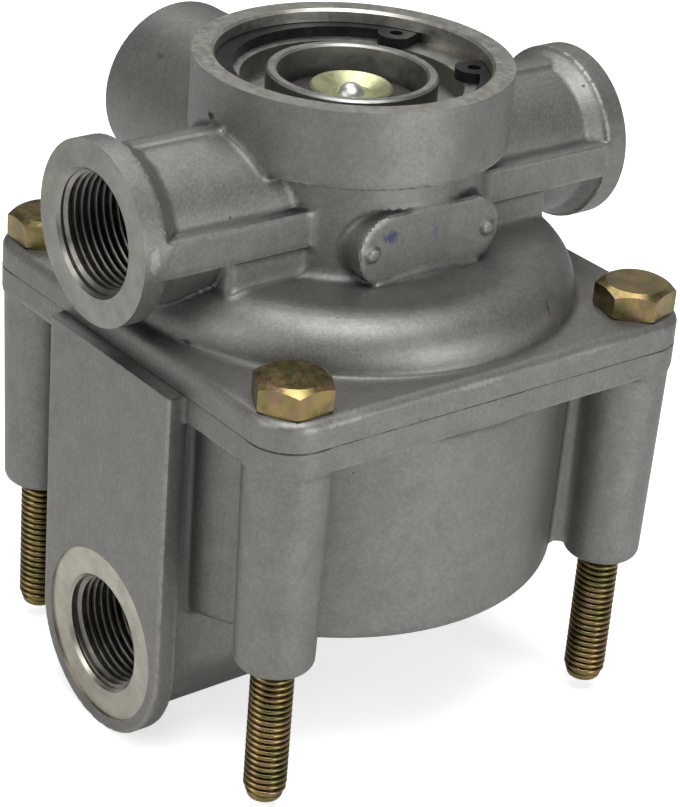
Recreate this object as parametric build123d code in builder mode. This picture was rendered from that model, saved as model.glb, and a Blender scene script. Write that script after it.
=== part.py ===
from build123d import *
from math import cos, radians, sin, sqrt, tan
import os

os.makedirs("parts", exist_ok=True)

# Relay valve for compressed-air brakes, standing with its exhaust at the top.
# The origin is the centre of the bolt pattern, on the undersides of the four bolt bosses.
# +Z points to the exhaust, +Y to the supply port, and -X to the control port.
# Lengths are in millimetres and angles in degrees.

# Bolts that clamp the two castings and carry the valve
bolt_stand_off = 9.2543
bolt_diameter = 8.0
bolt_shank_diameter = 7.2
bolt_stand_out = 28.5
bolt_neck_taper = 0.4
bolt_head_flats = 13.0
bolt_head_height = 5.3
bolt_head_top_diameter = 11.2
bolt_head_chamfer_angle = 30.0
bolt_end_chamfer = 1.0
bolt_hole_clearance = 0.5
bolt_head_turns = {(-1, -1): 31.3, (1, -1): 46.7, (-1, 1): 56.5, (1, 1): 12.0}

# Threaded ports, drawn at the major diameter of their M22 x 1.5 thread
port_thread_diameter = 22.0
port_thread_depth = 18.0
port_mouth_chamfer = 0.6

# Control cover, the lower casting
cover_height = 46.0
cover_lip_thickness = 5.2
cover_bottom_drop = 1.0
cover_floor_thickness = 5.0
cover_wall = 4.9
cover_draft = 0.8
cover_bottom_fillet = 1.5
boss_draft = 1.0
boss_end_fillet = 1.5
boss_inset = 0.2
boss_web_thickness = 8.0
boss_web_foot = 2.5
piston_bore_diameter = 82.0
piston_ledge_width = 3.0
piston_ledge_height = 1.5

# Control port with its block and duct
control_port_drop = 11.9
control_face_stand = 4.4
control_block_half_width = 19.4
control_block_plate = 4.0
control_duct_half_width = 16.2
control_duct_end_wall = 3.2
control_duct_end_fillet = 5.0
control_spot_diameter = 33.6
control_spot_depth = 0.4
control_passage_diameter = 10.0
control_passage_distance = 20.0

# Flange that both castings share
flange_corner_radius = 8.3
flange_thickness = 5.5
flange_edge_fillet = 1.6

# Port body, the upper casting
dome_step = 1.7
dome_wall_height = 1.2
dome_shoulder_radius = 8.6
dome_wall = 3.9
dome_top_rise = 0.3
waist_foot_fillet = 2.4
collar_wall = 4.1
collar_height = 14.3
collar_top_above_flange = 42.5
collar_root_fillet = 1.2
collar_edge_round = 0.7
collar_bore_diameter = 50.0
collar_bore_depth = 11.0
collar_mouth_chamfer = 0.5
chamber_shoulder = 5.0
chamber_floor_wall = 4.2

# Radial port bosses and their necks
port_height_above_flange = 18.9
port_overhang = 7.3
port_boss_radius = 16.65
port_boss_thickness = 4.8
port_boss_edge_round = 0.5
port_flare_length = 3.1
port_flare_step = 0.5
neck_radius = 14.4
neck_block_half_width = 15.7
neck_block_set_back = 7.7
neck_block_edge_round = 1.5
side_rib_half_height = 3.4
top_rib_height = 15.1
top_rib_half_width = 1.8
top_rib_base_half_width = 2.8
port_passage_diameter = 17.0
delivery_slot_width = 15.0
delivery_slot_end_wall = 1.6
chamber_side_wall = 5.3

# Blind pad on the front of the waist
pad_length = 31.4
pad_height = 13.4
pad_stand = 0.3
pad_drop = 2.7
pad_root_depth = 8.0
pad_pip_spacing = 26.0
pad_pip_radius = 1.3
pad_pip_height = 0.6

# Inlet seat in the port body
seat_opening_diameter = 24.0
seat_bead_wall = 1.6
seat_bead_height = 2.5
seat_bead_land = 0.6

# Exhaust insert, turned
insert_fit = 0.05
insert_flange_thickness = 6.4
insert_spigot_length = 1.5
insert_spigot_fit = 0.1
insert_web_thickness = 2.6
insert_recess_depth = 4.2
insert_rim_wall = 4.65
exhaust_tube_outer_radius = 15.6
exhaust_tube_wall = 1.95
exhaust_tube_stand = 1.7
exhaust_tube_chamfer = 0.4
guide_sleeve_wall = 2.3
guide_sleeve_foot_gap = 1.9
web_hole_circle_radius = 5.5
web_hole_diameter = 3.8
web_hole_count = 6
insert_groove_height = 3.0
insert_groove_depth = 2.1
insert_groove_foot = 1.4

# Retaining ring
ring_thickness = 2.0
ring_groove_depth = 1.5
ring_groove_play = 0.1
ring_outer_play = 0.2
ring_back_width = 4.8
ring_end_width = 3.2
ring_lug_angle = 28.0
ring_lug_turn = 3.3
ring_lug_radius = 3.5
ring_lug_inset = 0.2
ring_eye_diameter = 2.5
ring_gap_angle = 20.0

# Exhaust flap with its washer and rivet
flap_edge_gap = 1.05
flap_thickness = 2.0
flap_edge_thickness = 1.5
washer_radius = 7.6
washer_flat_radius = 4.4
washer_thickness = 0.8
washer_cup_height = 1.9
rivet_shank_radius = 1.95
rivet_hole_gap = 0.05
rivet_head_radius = 2.6
rivet_head_height = 1.8
rivet_foot_radius = 3.1
rivet_foot_height = 1.2

# Inlet valve, which slides in the guide sleeve
valve_lift = 2.5
valve_tube_radius = 8.0
valve_tube_wall = 2.0
valve_tube_gap = 0.08
valve_top_gap = 0.6
valve_head_overhang = 0.8
valve_head_thickness = 2.5
valve_rubber_thickness = 2.5
valve_rubber_inset = 0.2
valve_seal_groove_depth = 1.1
valve_seal_groove_height = 1.4
valve_seal_below_top = 2.4
spring_seat_thickness = 0.6
spring_seat_inset = 0.5
spring_seat_gap = 0.5
spring_wire_diameter = 1.5
spring_coil_gap = 0.9
spring_turns = 4.5

# Relay piston, which slides in the bore of the control cover
exhaust_gap = 2.0
piston_gap = 0.1
piston_height = 34.0
piston_skirt_wall = 3.9
piston_crown_thickness = 4.5
piston_crown_chamfer = 1.0
piston_hub_radius = 8.0
piston_rib_depth = 7.0
piston_rib_thickness = 2.5
piston_rib_count = 6
stem_radius = 9.0
stem_bore_radius = 6.0
stem_bore_depth = 12.0
gusset_count = 4
gusset_thickness = 3.0
gusset_reach = 18.0
gusset_height = 9.0
gusset_tip_height = 1.5
exhaust_seat_shank_fit = 0.03
exhaust_seat_head_height = 5.0
exhaust_seat_edge = 0.4
exhaust_seat_wall = 1.2
exhaust_seat_lip_height = 1.6
exhaust_seat_lip_inset = 1.0
exhaust_seat_lip_width = 1.0
piston_groove_height = 3.0
piston_groove_depth = 2.2
piston_groove_below_crown = 3.2
band_height = 6.0
band_thickness = 1.5
band_foot = 4.5
band_play = 0.1

# Seals lie this far off the walls they close
seal_gap = 0.04
flange_groove_wall = 1.5
flange_groove_width = 2.6
flange_groove_depth = 2.0

# Levels along the axis of the valve
parting_z = cover_height
flange_top_z = parting_z + flange_thickness
port_z = flange_top_z + port_height_above_flange
collar_top_z = flange_top_z + collar_top_above_flange
collar_foot_z = collar_top_z - collar_height
cover_bottom_z = -cover_bottom_drop
chamber_floor_cover_z = cover_bottom_z + cover_floor_thickness
piston_foot_z = chamber_floor_cover_z + piston_ledge_height
dome_shoulder_z = flange_top_z + dome_wall_height
dome_top_z = dome_shoulder_z + dome_shoulder_radius
dome_hollow_top_z = dome_top_z - dome_wall
chamber_floor_z = dome_hollow_top_z + chamber_floor_wall
seat_z = chamber_floor_z + seat_bead_height
shoulder_z = collar_top_z - collar_bore_depth
control_z = -control_port_drop

# Radii, distances and half sizes that follow from them
piston_bore_radius = piston_bore_diameter / 2
cover_radius = piston_bore_radius + cover_wall
half_spacing = (cover_radius + bolt_stand_off) / sqrt(2)
bolt_spacing = 2 * half_spacing
flange_side = bolt_spacing + 2 * flange_corner_radius
boss_radius = flange_corner_radius - boss_inset
dome_radius = cover_radius - dome_step
collar_bore_radius = collar_bore_diameter / 2
collar_radius = collar_bore_radius + collar_wall
chamber_radius = collar_bore_radius - chamber_shoulder
waist_radius = chamber_radius + chamber_side_wall
port_face_distance = flange_side / 2 + port_overhang
neck_block_reach = dome_radius - neck_block_set_back
pad_face_distance = waist_radius + pad_stand
control_face_distance = cover_radius + control_face_stand
control_duct_end = control_passage_distance - control_passage_diameter / 2 - control_duct_end_wall
port_thread_radius = port_thread_diameter / 2
seat_opening_radius = seat_opening_diameter / 2
exhaust_tube_inner_radius = exhaust_tube_outer_radius - exhaust_tube_wall
flap_radius = exhaust_tube_inner_radius - flap_edge_gap
valve_tube_bore_radius = valve_tube_radius - valve_tube_wall
valve_head_radius = seat_opening_radius + seat_bead_wall + valve_head_overhang
bolt_hole_radius = bolt_diameter / 2 + bolt_hole_clearance
delivery_turns = (0, 180)
supply_turn = 90
port_turns = (*delivery_turns, supply_turn)

# Port body: the turned outline of dome, waist and collar, then flange, necks and pad
with BuildPart() as port_body:
    with BuildSketch(Plane.XZ) as core_profile:
        with BuildLine():
            shoulder_start = (dome_radius, dome_shoulder_z)
            shoulder_end = (dome_radius - dome_shoulder_radius, dome_top_z)
            foot_start = (waist_radius + waist_foot_fillet, dome_top_z + dome_top_rise)
            foot_end = (waist_radius, foot_start[1] + waist_foot_fillet)
            root_start = (waist_radius, collar_foot_z - collar_root_fillet)
            root_end = (waist_radius + collar_root_fillet, collar_foot_z)
            edge_start = (collar_radius - collar_edge_round, collar_foot_z)
            edge_end = (collar_radius, collar_foot_z + collar_edge_round)
            Line((0, parting_z), (dome_radius, parting_z))
            Line((dome_radius, parting_z), shoulder_start)
            RadiusArc(shoulder_start, shoulder_end, -dome_shoulder_radius)
            Line(shoulder_end, foot_start)
            RadiusArc(foot_start, foot_end, waist_foot_fillet)
            Line(foot_end, root_start)
            RadiusArc(root_start, root_end, collar_root_fillet)
            Line(root_end, edge_start)
            RadiusArc(edge_start, edge_end, -collar_edge_round)
            Line(edge_end, (collar_radius, collar_top_z))
            Line((collar_radius, collar_top_z), (0, collar_top_z))
            Line((0, collar_top_z), (0, parting_z))
        make_face()
    revolve(axis=Axis.Z)

    # Square flange with rounded corners
    with BuildSketch(Plane.XY.offset(parting_z)):
        RectangleRounded(flange_side, flange_side, flange_corner_radius)
    extrude(amount=flange_thickness)
    flange_rim = (
        port_body.edges()
        .filter_by_position(Axis.Z, flange_top_z - 0.01, flange_top_z + 0.01)
        .filter_by(lambda e: max(abs(e.center().X), abs(e.center().Y)) > dome_radius + 0.5)
    )
    fillet(flange_rim, radius=flange_edge_fillet)

    # Blocks that carry the necks on the dome
    for turn in port_turns:
        block_plane = Plane.XY.offset(parting_z + flange_thickness / 2).rotated((0, 0, turn))
        with BuildSketch(block_plane):
            with Locations((neck_block_reach / 2, 0)):
                Rectangle(neck_block_reach, 2 * neck_block_half_width)
        extrude(amount=port_z - parting_z - flange_thickness / 2)
    block_ends = (
        port_body.edges()
        .filter_by(Axis.Z)
        .filter_by(lambda e: max(abs(e.center().X), abs(e.center().Y)) > neck_block_reach - 0.01
                   and min(abs(e.center().X), abs(e.center().Y)) < neck_block_half_width + 0.01)
    )
    fillet(block_ends, radius=neck_block_edge_round)

    # Neck, flare and boss of each delivery port, turned about the port's own axis
    for turn in delivery_turns:
        port_plane = Plane(origin=(0, 0, port_z), x_dir=(cos(radians(turn)), sin(radians(turn)), 0),
                           z_dir=(sin(radians(turn)), -cos(radians(turn)), 0))
        boss_rear = port_face_distance - port_boss_thickness
        with BuildSketch(port_plane):
            with BuildLine():
                Polyline(
                    (0, 0),
                    (0, neck_radius),
                    (boss_rear - port_flare_length, neck_radius),
                    (boss_rear, port_boss_radius - port_flare_step),
                    (boss_rear + port_flare_step, port_boss_radius),
                    (port_face_distance - port_boss_edge_round, port_boss_radius),
                    (port_face_distance, port_boss_radius - port_boss_edge_round),
                    (port_face_distance, 0),
                    (0, 0),
                )
            make_face()
        revolve(axis=Axis((0, 0, port_z), (cos(radians(turn)), sin(radians(turn)), 0)))

    # Plain drum of the supply port, as wide as the other bosses all the way to the waist
    with BuildSketch(Plane(origin=(0, 0, port_z), x_dir=(0, 1, 0), z_dir=(1, 0, 0))):
        with BuildLine():
            Polyline(
                (0, 0),
                (0, port_boss_radius),
                (port_face_distance - port_boss_edge_round, port_boss_radius),
                (port_face_distance, port_boss_radius - port_boss_edge_round),
                (port_face_distance, 0),
                (0, 0),
            )
        make_face()
    revolve(axis=Axis((0, 0, port_z), (0, 1, 0)))

    # Ribs along both sides of each delivery neck, flush with the boss
    for turn in delivery_turns:
        rib_length = port_face_distance - port_boss_thickness
        with BuildSketch(Plane.XY.offset(port_z - side_rib_half_height).rotated((0, 0, turn))):
            with Locations((rib_length / 2, 0)):
                Rectangle(rib_length, 2 * port_boss_radius)
        extrude(amount=2 * side_rib_half_height)

    # Tapered rib along the top of each delivery neck
    for turn in delivery_turns:
        rib_plane = Plane(origin=(0, 0, port_z), x_dir=(-sin(radians(turn)), cos(radians(turn)), 0),
                          z_dir=(cos(radians(turn)), sin(radians(turn)), 0))
        with BuildSketch(rib_plane):
            with BuildLine():
                Polyline(
                    (-top_rib_base_half_width, 0),
                    (top_rib_base_half_width, 0),
                    (top_rib_half_width, top_rib_height),
                    (-top_rib_half_width, top_rib_height),
                    (-top_rib_base_half_width, 0),
                )
            make_face()
        extrude(amount=port_face_distance - port_boss_thickness)

    # Blind pad with its two pips
    pad_plane = Plane.XZ.offset(pad_face_distance)
    with BuildSketch(pad_plane):
        with Locations((0, port_z - pad_drop)):
            SlotOverall(pad_length, pad_height)
    extrude(amount=-pad_root_depth)
    with BuildSketch(pad_plane):
        with Locations((0, port_z - pad_drop)):
            with GridLocations(pad_pip_spacing, 0, 2, 1):
                Circle(pad_pip_radius)
    extrude(amount=pad_pip_height)

    # Collar bore, ring groove, supply chamber and the hollow above the piston
    with BuildSketch(Plane.XZ) as hollow_profile:
        with BuildLine():
            groove_top_z = shoulder_z + insert_flange_thickness + ring_thickness + ring_groove_play
            groove_foot_z = shoulder_z + insert_flange_thickness
            groove_radius = collar_bore_radius + ring_groove_depth
            hollow_radius = dome_radius - dome_wall
            hollow_round = dome_shoulder_radius - dome_wall / 2
            hollow_start = (hollow_radius, dome_hollow_top_z - hollow_round)
            hollow_end = (hollow_radius - hollow_round, dome_hollow_top_z)
            Polyline(
                (0, collar_top_z),
                (collar_bore_radius + collar_mouth_chamfer, collar_top_z),
                (collar_bore_radius, collar_top_z - collar_mouth_chamfer),
                (collar_bore_radius, groove_top_z),
                (groove_radius, groove_top_z),
                (groove_radius, groove_foot_z),
                (collar_bore_radius, groove_foot_z),
                (collar_bore_radius, shoulder_z),
                (chamber_radius, shoulder_z),
                (chamber_radius, chamber_floor_z),
                (seat_opening_radius + seat_bead_wall, chamber_floor_z),
                (seat_opening_radius + seat_bead_wall, seat_z - seat_bead_land),
                (seat_opening_radius + seat_bead_wall - seat_bead_land / 2, seat_z),
                (seat_opening_radius + seat_bead_land / 2, seat_z),
                (seat_opening_radius, seat_z - seat_bead_land),
                (seat_opening_radius, dome_hollow_top_z),
                hollow_end,
            )
            RadiusArc(hollow_end, hollow_start, hollow_round)
            Polyline(hollow_start, (hollow_radius, parting_z), (0, parting_z), (0, collar_top_z))
        make_face()
    revolve(axis=Axis.Z, mode=Mode.SUBTRACT)

    # Threaded bore of each port with its mouth chamfer
    for turn in port_turns:
        mouth_plane = Plane(
            origin=(port_face_distance * cos(radians(turn)), port_face_distance * sin(radians(turn)), port_z),
            z_dir=(cos(radians(turn)), sin(radians(turn)), 0),
        )
        with BuildSketch(mouth_plane):
            Circle(port_thread_radius)
        extrude(amount=-port_thread_depth, mode=Mode.SUBTRACT)
        with BuildSketch(mouth_plane):
            Circle(port_thread_radius + port_mouth_chamfer)
        with BuildSketch(mouth_plane.offset(-port_mouth_chamfer)):
            Circle(port_thread_radius)
        loft(mode=Mode.SUBTRACT)

    # Supply passage from the rear port into the chamber
    with BuildSketch(Plane.XZ.offset(-(port_face_distance - port_thread_depth))):
        with Locations((0, port_z)):
            Circle(port_passage_diameter / 2)
    extrude(amount=port_face_distance - port_thread_depth - chamber_radius / 2, mode=Mode.SUBTRACT)

    # Delivery passages, which turn down into the hollow above the piston
    slot_inner = waist_radius
    slot_outer = neck_block_reach - delivery_slot_end_wall
    for turn in delivery_turns:
        passage_plane = Plane(origin=(slot_inner * cos(radians(turn)), 0, port_z),
                              z_dir=(cos(radians(turn)), 0, 0))
        with BuildSketch(passage_plane):
            Circle(port_passage_diameter / 2)
        extrude(amount=port_face_distance - port_thread_depth - slot_inner, mode=Mode.SUBTRACT)
        with BuildSketch(Plane.XY.offset(port_z).rotated((0, 0, turn))):
            with Locations(((slot_inner + slot_outer) / 2, 0)):
                RectangleRounded(slot_outer - slot_inner, delivery_slot_width, (slot_outer - slot_inner) / 4)
        extrude(amount=-(port_z - dome_hollow_top_z + dome_wall), mode=Mode.SUBTRACT)

    # Bolt holes
    with BuildSketch(Plane.XY.offset(parting_z)):
        with GridLocations(bolt_spacing, bolt_spacing, 2, 2):
            Circle(bolt_hole_radius)
    extrude(amount=flange_thickness, mode=Mode.SUBTRACT)
port_body.part.label = "port_body"
export_step(port_body.part, "parts/port_body.step")

# Control cover: lip, drafted cylinder, bolt bosses with webs, then the block of the control port
with BuildPart() as control_cover:
    with BuildSketch(Plane.XY.offset(parting_z - cover_lip_thickness)):
        RectangleRounded(flange_side - 2 * boss_inset, flange_side - 2 * boss_inset,
                         flange_corner_radius - boss_inset)
    extrude(amount=cover_lip_thickness)
    cylinder_height = parting_z - cover_bottom_z
    with BuildSketch(Plane.XZ):
        with BuildLine():
            foot_radius = cover_radius - cylinder_height * tan(radians(cover_draft))
            Line((0, cover_bottom_z), (foot_radius - cover_bottom_fillet, cover_bottom_z))
            RadiusArc((foot_radius - cover_bottom_fillet, cover_bottom_z),
                      (foot_radius, cover_bottom_z + cover_bottom_fillet), -cover_bottom_fillet)
            Polyline((foot_radius, cover_bottom_z + cover_bottom_fillet), (cover_radius, parting_z),
                     (0, parting_z), (0, cover_bottom_z))
        make_face()
    revolve(axis=Axis.Z)

    # Webs that tie the bosses to the cylinder
    web_reach = half_spacing * sqrt(2)
    for turn in (45, 135, 225, 315):
        with BuildSketch(Plane.XY.offset(boss_web_foot).rotated((0, 0, turn))):
            with Locations((web_reach / 2, 0)):
                Rectangle(web_reach, boss_web_thickness)
        extrude(amount=parting_z - boss_web_foot)

    # Drafted bolt bosses with rounded lower ends
    boss_foot_radius = boss_radius - parting_z * tan(radians(boss_draft))
    with GridLocations(bolt_spacing, bolt_spacing, 2, 2):
        Cone(boss_foot_radius, boss_radius, parting_z, align=(Align.CENTER, Align.CENTER, Align.MIN))
    boss_ends = control_cover.edges().filter_by(GeomType.CIRCLE).filter_by_position(Axis.Z, -0.01, 0.01)
    fillet(boss_ends, radius=boss_end_fillet)

    # Front plate of the control port, and the narrower duct behind it
    for half_width, near, far in (
        (control_block_half_width, control_face_distance - control_block_plate, control_face_distance),
        (control_duct_half_width, control_duct_end, control_face_distance - control_block_plate / 2),
    ):
        with BuildSketch(Plane(origin=(-near, 0, 0), x_dir=(0, -1, 0), z_dir=(-1, 0, 0))):
            with Locations((0, (parting_z + control_z) / 2)):
                Rectangle(2 * half_width, parting_z - control_z)
            with Locations((0, control_z)):
                Circle(half_width)
        extrude(amount=far - near)
    duct_end = (
        control_cover.edges()
        .filter_by_position(Axis.X, -control_duct_end - 0.01, -control_duct_end + 0.01)
        .filter_by(GeomType.CIRCLE)
    )
    fillet(duct_end, radius=control_duct_end_fillet)

    # Piston bore, its ledge and the groove of the flange seal
    with BuildSketch(Plane.XZ):
        with BuildLine():
            Polyline(
                (0, chamber_floor_cover_z),
                (piston_bore_radius - piston_ledge_width, chamber_floor_cover_z),
                (piston_bore_radius - piston_ledge_width, piston_foot_z),
                (piston_bore_radius, piston_foot_z),
                (piston_bore_radius, parting_z),
                (0, parting_z),
                (0, chamber_floor_cover_z),
            )
        make_face()
    revolve(axis=Axis.Z, mode=Mode.SUBTRACT)
    flange_groove_inner = piston_bore_radius + flange_groove_wall
    with BuildSketch(Plane.XY.offset(parting_z)):
        Circle(flange_groove_inner + flange_groove_width)
        Circle(flange_groove_inner, mode=Mode.SUBTRACT)
    extrude(amount=-flange_groove_depth, mode=Mode.SUBTRACT)

    # Control port: machined face, threaded bore, mouth chamfer and the drilled passage
    control_plane = Plane(origin=(-control_face_distance, 0, control_z), z_dir=(-1, 0, 0))
    with BuildSketch(control_plane):
        Circle(control_spot_diameter / 2)
    extrude(amount=-control_spot_depth, mode=Mode.SUBTRACT)
    spot_plane = control_plane.offset(-control_spot_depth)
    with BuildSketch(spot_plane):
        Circle(port_thread_radius)
    extrude(amount=-port_thread_depth, mode=Mode.SUBTRACT)
    with BuildSketch(spot_plane):
        Circle(port_thread_radius + port_mouth_chamfer)
    with BuildSketch(spot_plane.offset(-port_mouth_chamfer)):
        Circle(port_thread_radius)
    loft(mode=Mode.SUBTRACT)
    with BuildSketch(spot_plane):
        Circle(control_passage_diameter / 2)
    extrude(amount=-(control_face_distance - control_spot_depth - control_passage_distance),
            mode=Mode.SUBTRACT)
    with BuildSketch(Plane.XY.offset(control_z)):
        with Locations((-control_passage_distance, 0)):
            Circle(control_passage_diameter / 2)
    extrude(amount=chamber_floor_cover_z - control_z, mode=Mode.SUBTRACT)

    # Bolt holes
    with BuildSketch(Plane.XY):
        with GridLocations(bolt_spacing, bolt_spacing, 2, 2):
            Circle(bolt_hole_radius)
    extrude(amount=parting_z, mode=Mode.SUBTRACT)
control_cover.part.label = "control_cover"
export_step(control_cover.part, "parts/control_cover.step")

# Mounting bolts: hexagon heads with chamfered corners, a shank at the thread's pitch diameter,
# and the threaded end that stands out below the boss, drawn at its major diameter
for number, (side_x, side_y) in enumerate(bolt_head_turns, start=1):
    bolt_x, bolt_y = side_x * half_spacing, side_y * half_spacing
    bolt_plane = Plane(origin=(bolt_x, bolt_y, flange_top_z))
    head_plane = bolt_plane.rotated((0, 0, bolt_head_turns[(side_x, side_y)]))
    with BuildPart() as mounting_bolt:
        with BuildSketch(head_plane):
            RegularPolygon(bolt_head_flats / 2, 6, major_radius=False)
        extrude(amount=bolt_head_height)
        corner_radius = bolt_head_flats / sqrt(3) + 0.1
        corner_drop = (corner_radius - bolt_head_top_diameter / 2) * tan(radians(bolt_head_chamfer_angle))
        with BuildSketch(Plane(origin=bolt_plane.origin, x_dir=(1, 0, 0), z_dir=(0, -1, 0))):
            with BuildLine():
                Polyline(
                    (0, 0),
                    (corner_radius, 0),
                    (corner_radius, bolt_head_height - corner_drop),
                    (bolt_head_top_diameter / 2, bolt_head_height),
                    (0, bolt_head_height),
                    (0, 0),
                )
            make_face()
        revolve(axis=Axis(bolt_plane.origin, (0, 0, 1)), mode=Mode.INTERSECT)
        with BuildSketch(Plane(origin=(bolt_x, bolt_y, 0), x_dir=(1, 0, 0), z_dir=(0, -1, 0))):
            with BuildLine():
                Polyline(
                    (0, -bolt_stand_out),
                    (bolt_diameter / 2 - bolt_end_chamfer, -bolt_stand_out),
                    (bolt_diameter / 2, -bolt_stand_out + bolt_end_chamfer),
                    (bolt_diameter / 2, 0),
                    (bolt_shank_diameter / 2, bolt_neck_taper),
                    (bolt_shank_diameter / 2, flange_top_z),
                    (0, flange_top_z),
                    (0, -bolt_stand_out),
                )
            make_face()
        revolve(axis=Axis(bolt_plane.origin, (0, 0, 1)))
    mounting_bolt.part.label = f"mounting_bolt_{number}"
    export_step(mounting_bolt.part, f"parts/mounting_bolt_{number}.step")

# Flange seal, lying in the groove of the cover
flange_seal_radius = flange_groove_depth / 2 - seal_gap
with BuildPart() as flange_seal:
    with BuildSketch(Plane.XZ):
        with Locations((flange_groove_inner + flange_groove_width / 2, parting_z - flange_groove_depth / 2)):
            Circle(flange_seal_radius)
    revolve(axis=Axis.Z)
flange_seal.part.label = "flange_seal"
export_step(flange_seal.part, "parts/flange_seal.step")

# Exhaust insert: flange, recess, exhaust tube, web with holes, and the guide sleeve below
insert_top_z = shoulder_z + insert_flange_thickness
insert_spigot_z = shoulder_z - insert_spigot_length
insert_floor_z = insert_spigot_z + insert_web_thickness
sleeve_bore_radius = valve_tube_radius + valve_tube_gap
sleeve_radius = sleeve_bore_radius + guide_sleeve_wall
insert_radius = collar_bore_radius - insert_fit
insert_groove_z = shoulder_z + insert_groove_foot
insert_recess_radius = insert_radius - insert_rim_wall
recess_floor_z = insert_top_z - insert_recess_depth
valve_head_z = seat_z + valve_rubber_thickness
valve_head_top_z = valve_head_z + valve_head_thickness
sleeve_foot_z = valve_head_top_z + spring_seat_thickness + valve_lift + guide_sleeve_foot_gap
tube_top_z = insert_top_z + exhaust_tube_stand
rivet_hole_radius = rivet_shank_radius + rivet_hole_gap
with BuildPart() as exhaust_insert:
    with BuildSketch(Plane.XZ):
        with BuildLine():
            Polyline(
                (sleeve_bore_radius, sleeve_foot_z),
                (sleeve_radius, sleeve_foot_z),
                (sleeve_radius, insert_spigot_z),
                (chamber_radius - insert_spigot_fit, insert_spigot_z),
                (chamber_radius - insert_spigot_fit, shoulder_z),
                (insert_radius, shoulder_z),
                (insert_radius, insert_groove_z),
                (insert_radius - insert_groove_depth, insert_groove_z),
                (insert_radius - insert_groove_depth, insert_groove_z + insert_groove_height),
                (insert_radius, insert_groove_z + insert_groove_height),
                (insert_radius, insert_top_z),
                (insert_recess_radius, insert_top_z),
                (insert_recess_radius, recess_floor_z),
                (exhaust_tube_outer_radius, recess_floor_z),
                (exhaust_tube_outer_radius, tube_top_z - exhaust_tube_chamfer),
                (exhaust_tube_outer_radius - exhaust_tube_chamfer, tube_top_z),
                (exhaust_tube_inner_radius + exhaust_tube_chamfer, tube_top_z),
                (exhaust_tube_inner_radius, tube_top_z - exhaust_tube_chamfer),
                (exhaust_tube_inner_radius, insert_floor_z),
                (rivet_hole_radius, insert_floor_z),
                (rivet_hole_radius, insert_spigot_z),
                (sleeve_bore_radius, insert_spigot_z),
                (sleeve_bore_radius, sleeve_foot_z),
            )
        make_face()
    revolve(axis=Axis.Z)
    with BuildSketch(Plane.XY.offset(insert_spigot_z)):
        with PolarLocations(web_hole_circle_radius, web_hole_count):
            Circle(web_hole_diameter / 2)
    extrude(amount=insert_web_thickness, mode=Mode.SUBTRACT)
exhaust_insert.part.label = "exhaust_insert"
export_step(exhaust_insert.part, "parts/exhaust_insert.step")

# Insert seal
insert_seal_section = (insert_groove_depth + insert_fit) / 2 - seal_gap
with BuildPart() as insert_seal:
    with BuildSketch(Plane.XZ):
        with Locations((collar_bore_radius - seal_gap - insert_seal_section,
                        insert_groove_z + insert_groove_height / 2)):
            Circle(insert_seal_section)
    revolve(axis=Axis.Z)
insert_seal.part.label = "insert_seal"
export_step(insert_seal.part, "parts/insert_seal.step")

# Retaining ring: tapered width, a gap, and two lugs with eyes
ring_outer_radius = collar_bore_radius + ring_groove_depth - ring_outer_play
ring_inner_radius = ring_outer_radius - (ring_back_width + ring_end_width) / 2
ring_shift = (ring_back_width - ring_end_width) / 2
ring_lug_centre_radius = ring_outer_radius - ring_lug_radius - ring_lug_inset
with BuildPart() as retaining_ring:
    with BuildSketch(Plane.XY.offset(insert_top_z).rotated((0, 0, ring_lug_turn))):
        Circle(ring_outer_radius)
        with Locations((ring_shift, 0)):
            Circle(ring_inner_radius, mode=Mode.SUBTRACT)
        for side in (-1, 1):
            lug_angle = radians(side * ring_lug_angle)
            with Locations((ring_lug_centre_radius * cos(lug_angle), ring_lug_centre_radius * sin(lug_angle))):
                Circle(ring_lug_radius)
        with BuildLine():
            gap_reach = 2 * ring_outer_radius
            gap_rise = gap_reach * tan(radians(ring_gap_angle))
            Polyline((0, 0), (gap_reach, gap_rise), (gap_reach, -gap_rise), (0, 0))
        make_face(mode=Mode.SUBTRACT)
        for side in (-1, 1):
            lug_angle = radians(side * ring_lug_angle)
            with Locations((ring_lug_centre_radius * cos(lug_angle), ring_lug_centre_radius * sin(lug_angle))):
                Circle(ring_eye_diameter / 2, mode=Mode.SUBTRACT)
    extrude(amount=ring_thickness)
retaining_ring.part.label = "retaining_ring"
export_step(retaining_ring.part, "parts/retaining_ring.step")

# Exhaust flap, a rubber disc that thins to its edge
flap_top_z = insert_floor_z + flap_thickness
with BuildPart() as exhaust_flap:
    with BuildSketch(Plane.XZ):
        with BuildLine():
            Polyline(
                (rivet_hole_radius, insert_floor_z),
                (flap_radius, insert_floor_z),
                (flap_radius, insert_floor_z + flap_edge_thickness),
                (washer_radius, flap_top_z),
                (rivet_hole_radius, flap_top_z),
                (rivet_hole_radius, insert_floor_z),
            )
        make_face()
    revolve(axis=Axis.Z)
exhaust_flap.part.label = "exhaust_flap"
export_step(exhaust_flap.part, "parts/exhaust_flap.step")

# Cupped washer on the flap
with BuildPart() as flap_washer:
    with BuildSketch(Plane.XZ):
        with BuildLine():
            Polyline(
                (rivet_hole_radius, flap_top_z),
                (washer_flat_radius, flap_top_z),
                (washer_radius, flap_top_z + washer_cup_height),
                (washer_radius - washer_thickness / 2, flap_top_z + washer_cup_height + washer_thickness / 2),
                (washer_flat_radius - washer_thickness / 2, flap_top_z + washer_thickness),
                (rivet_hole_radius, flap_top_z + washer_thickness),
                (rivet_hole_radius, flap_top_z),
            )
        make_face()
    revolve(axis=Axis.Z)
flap_washer.part.label = "flap_washer"
export_step(flap_washer.part, "parts/flap_washer.step")

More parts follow.
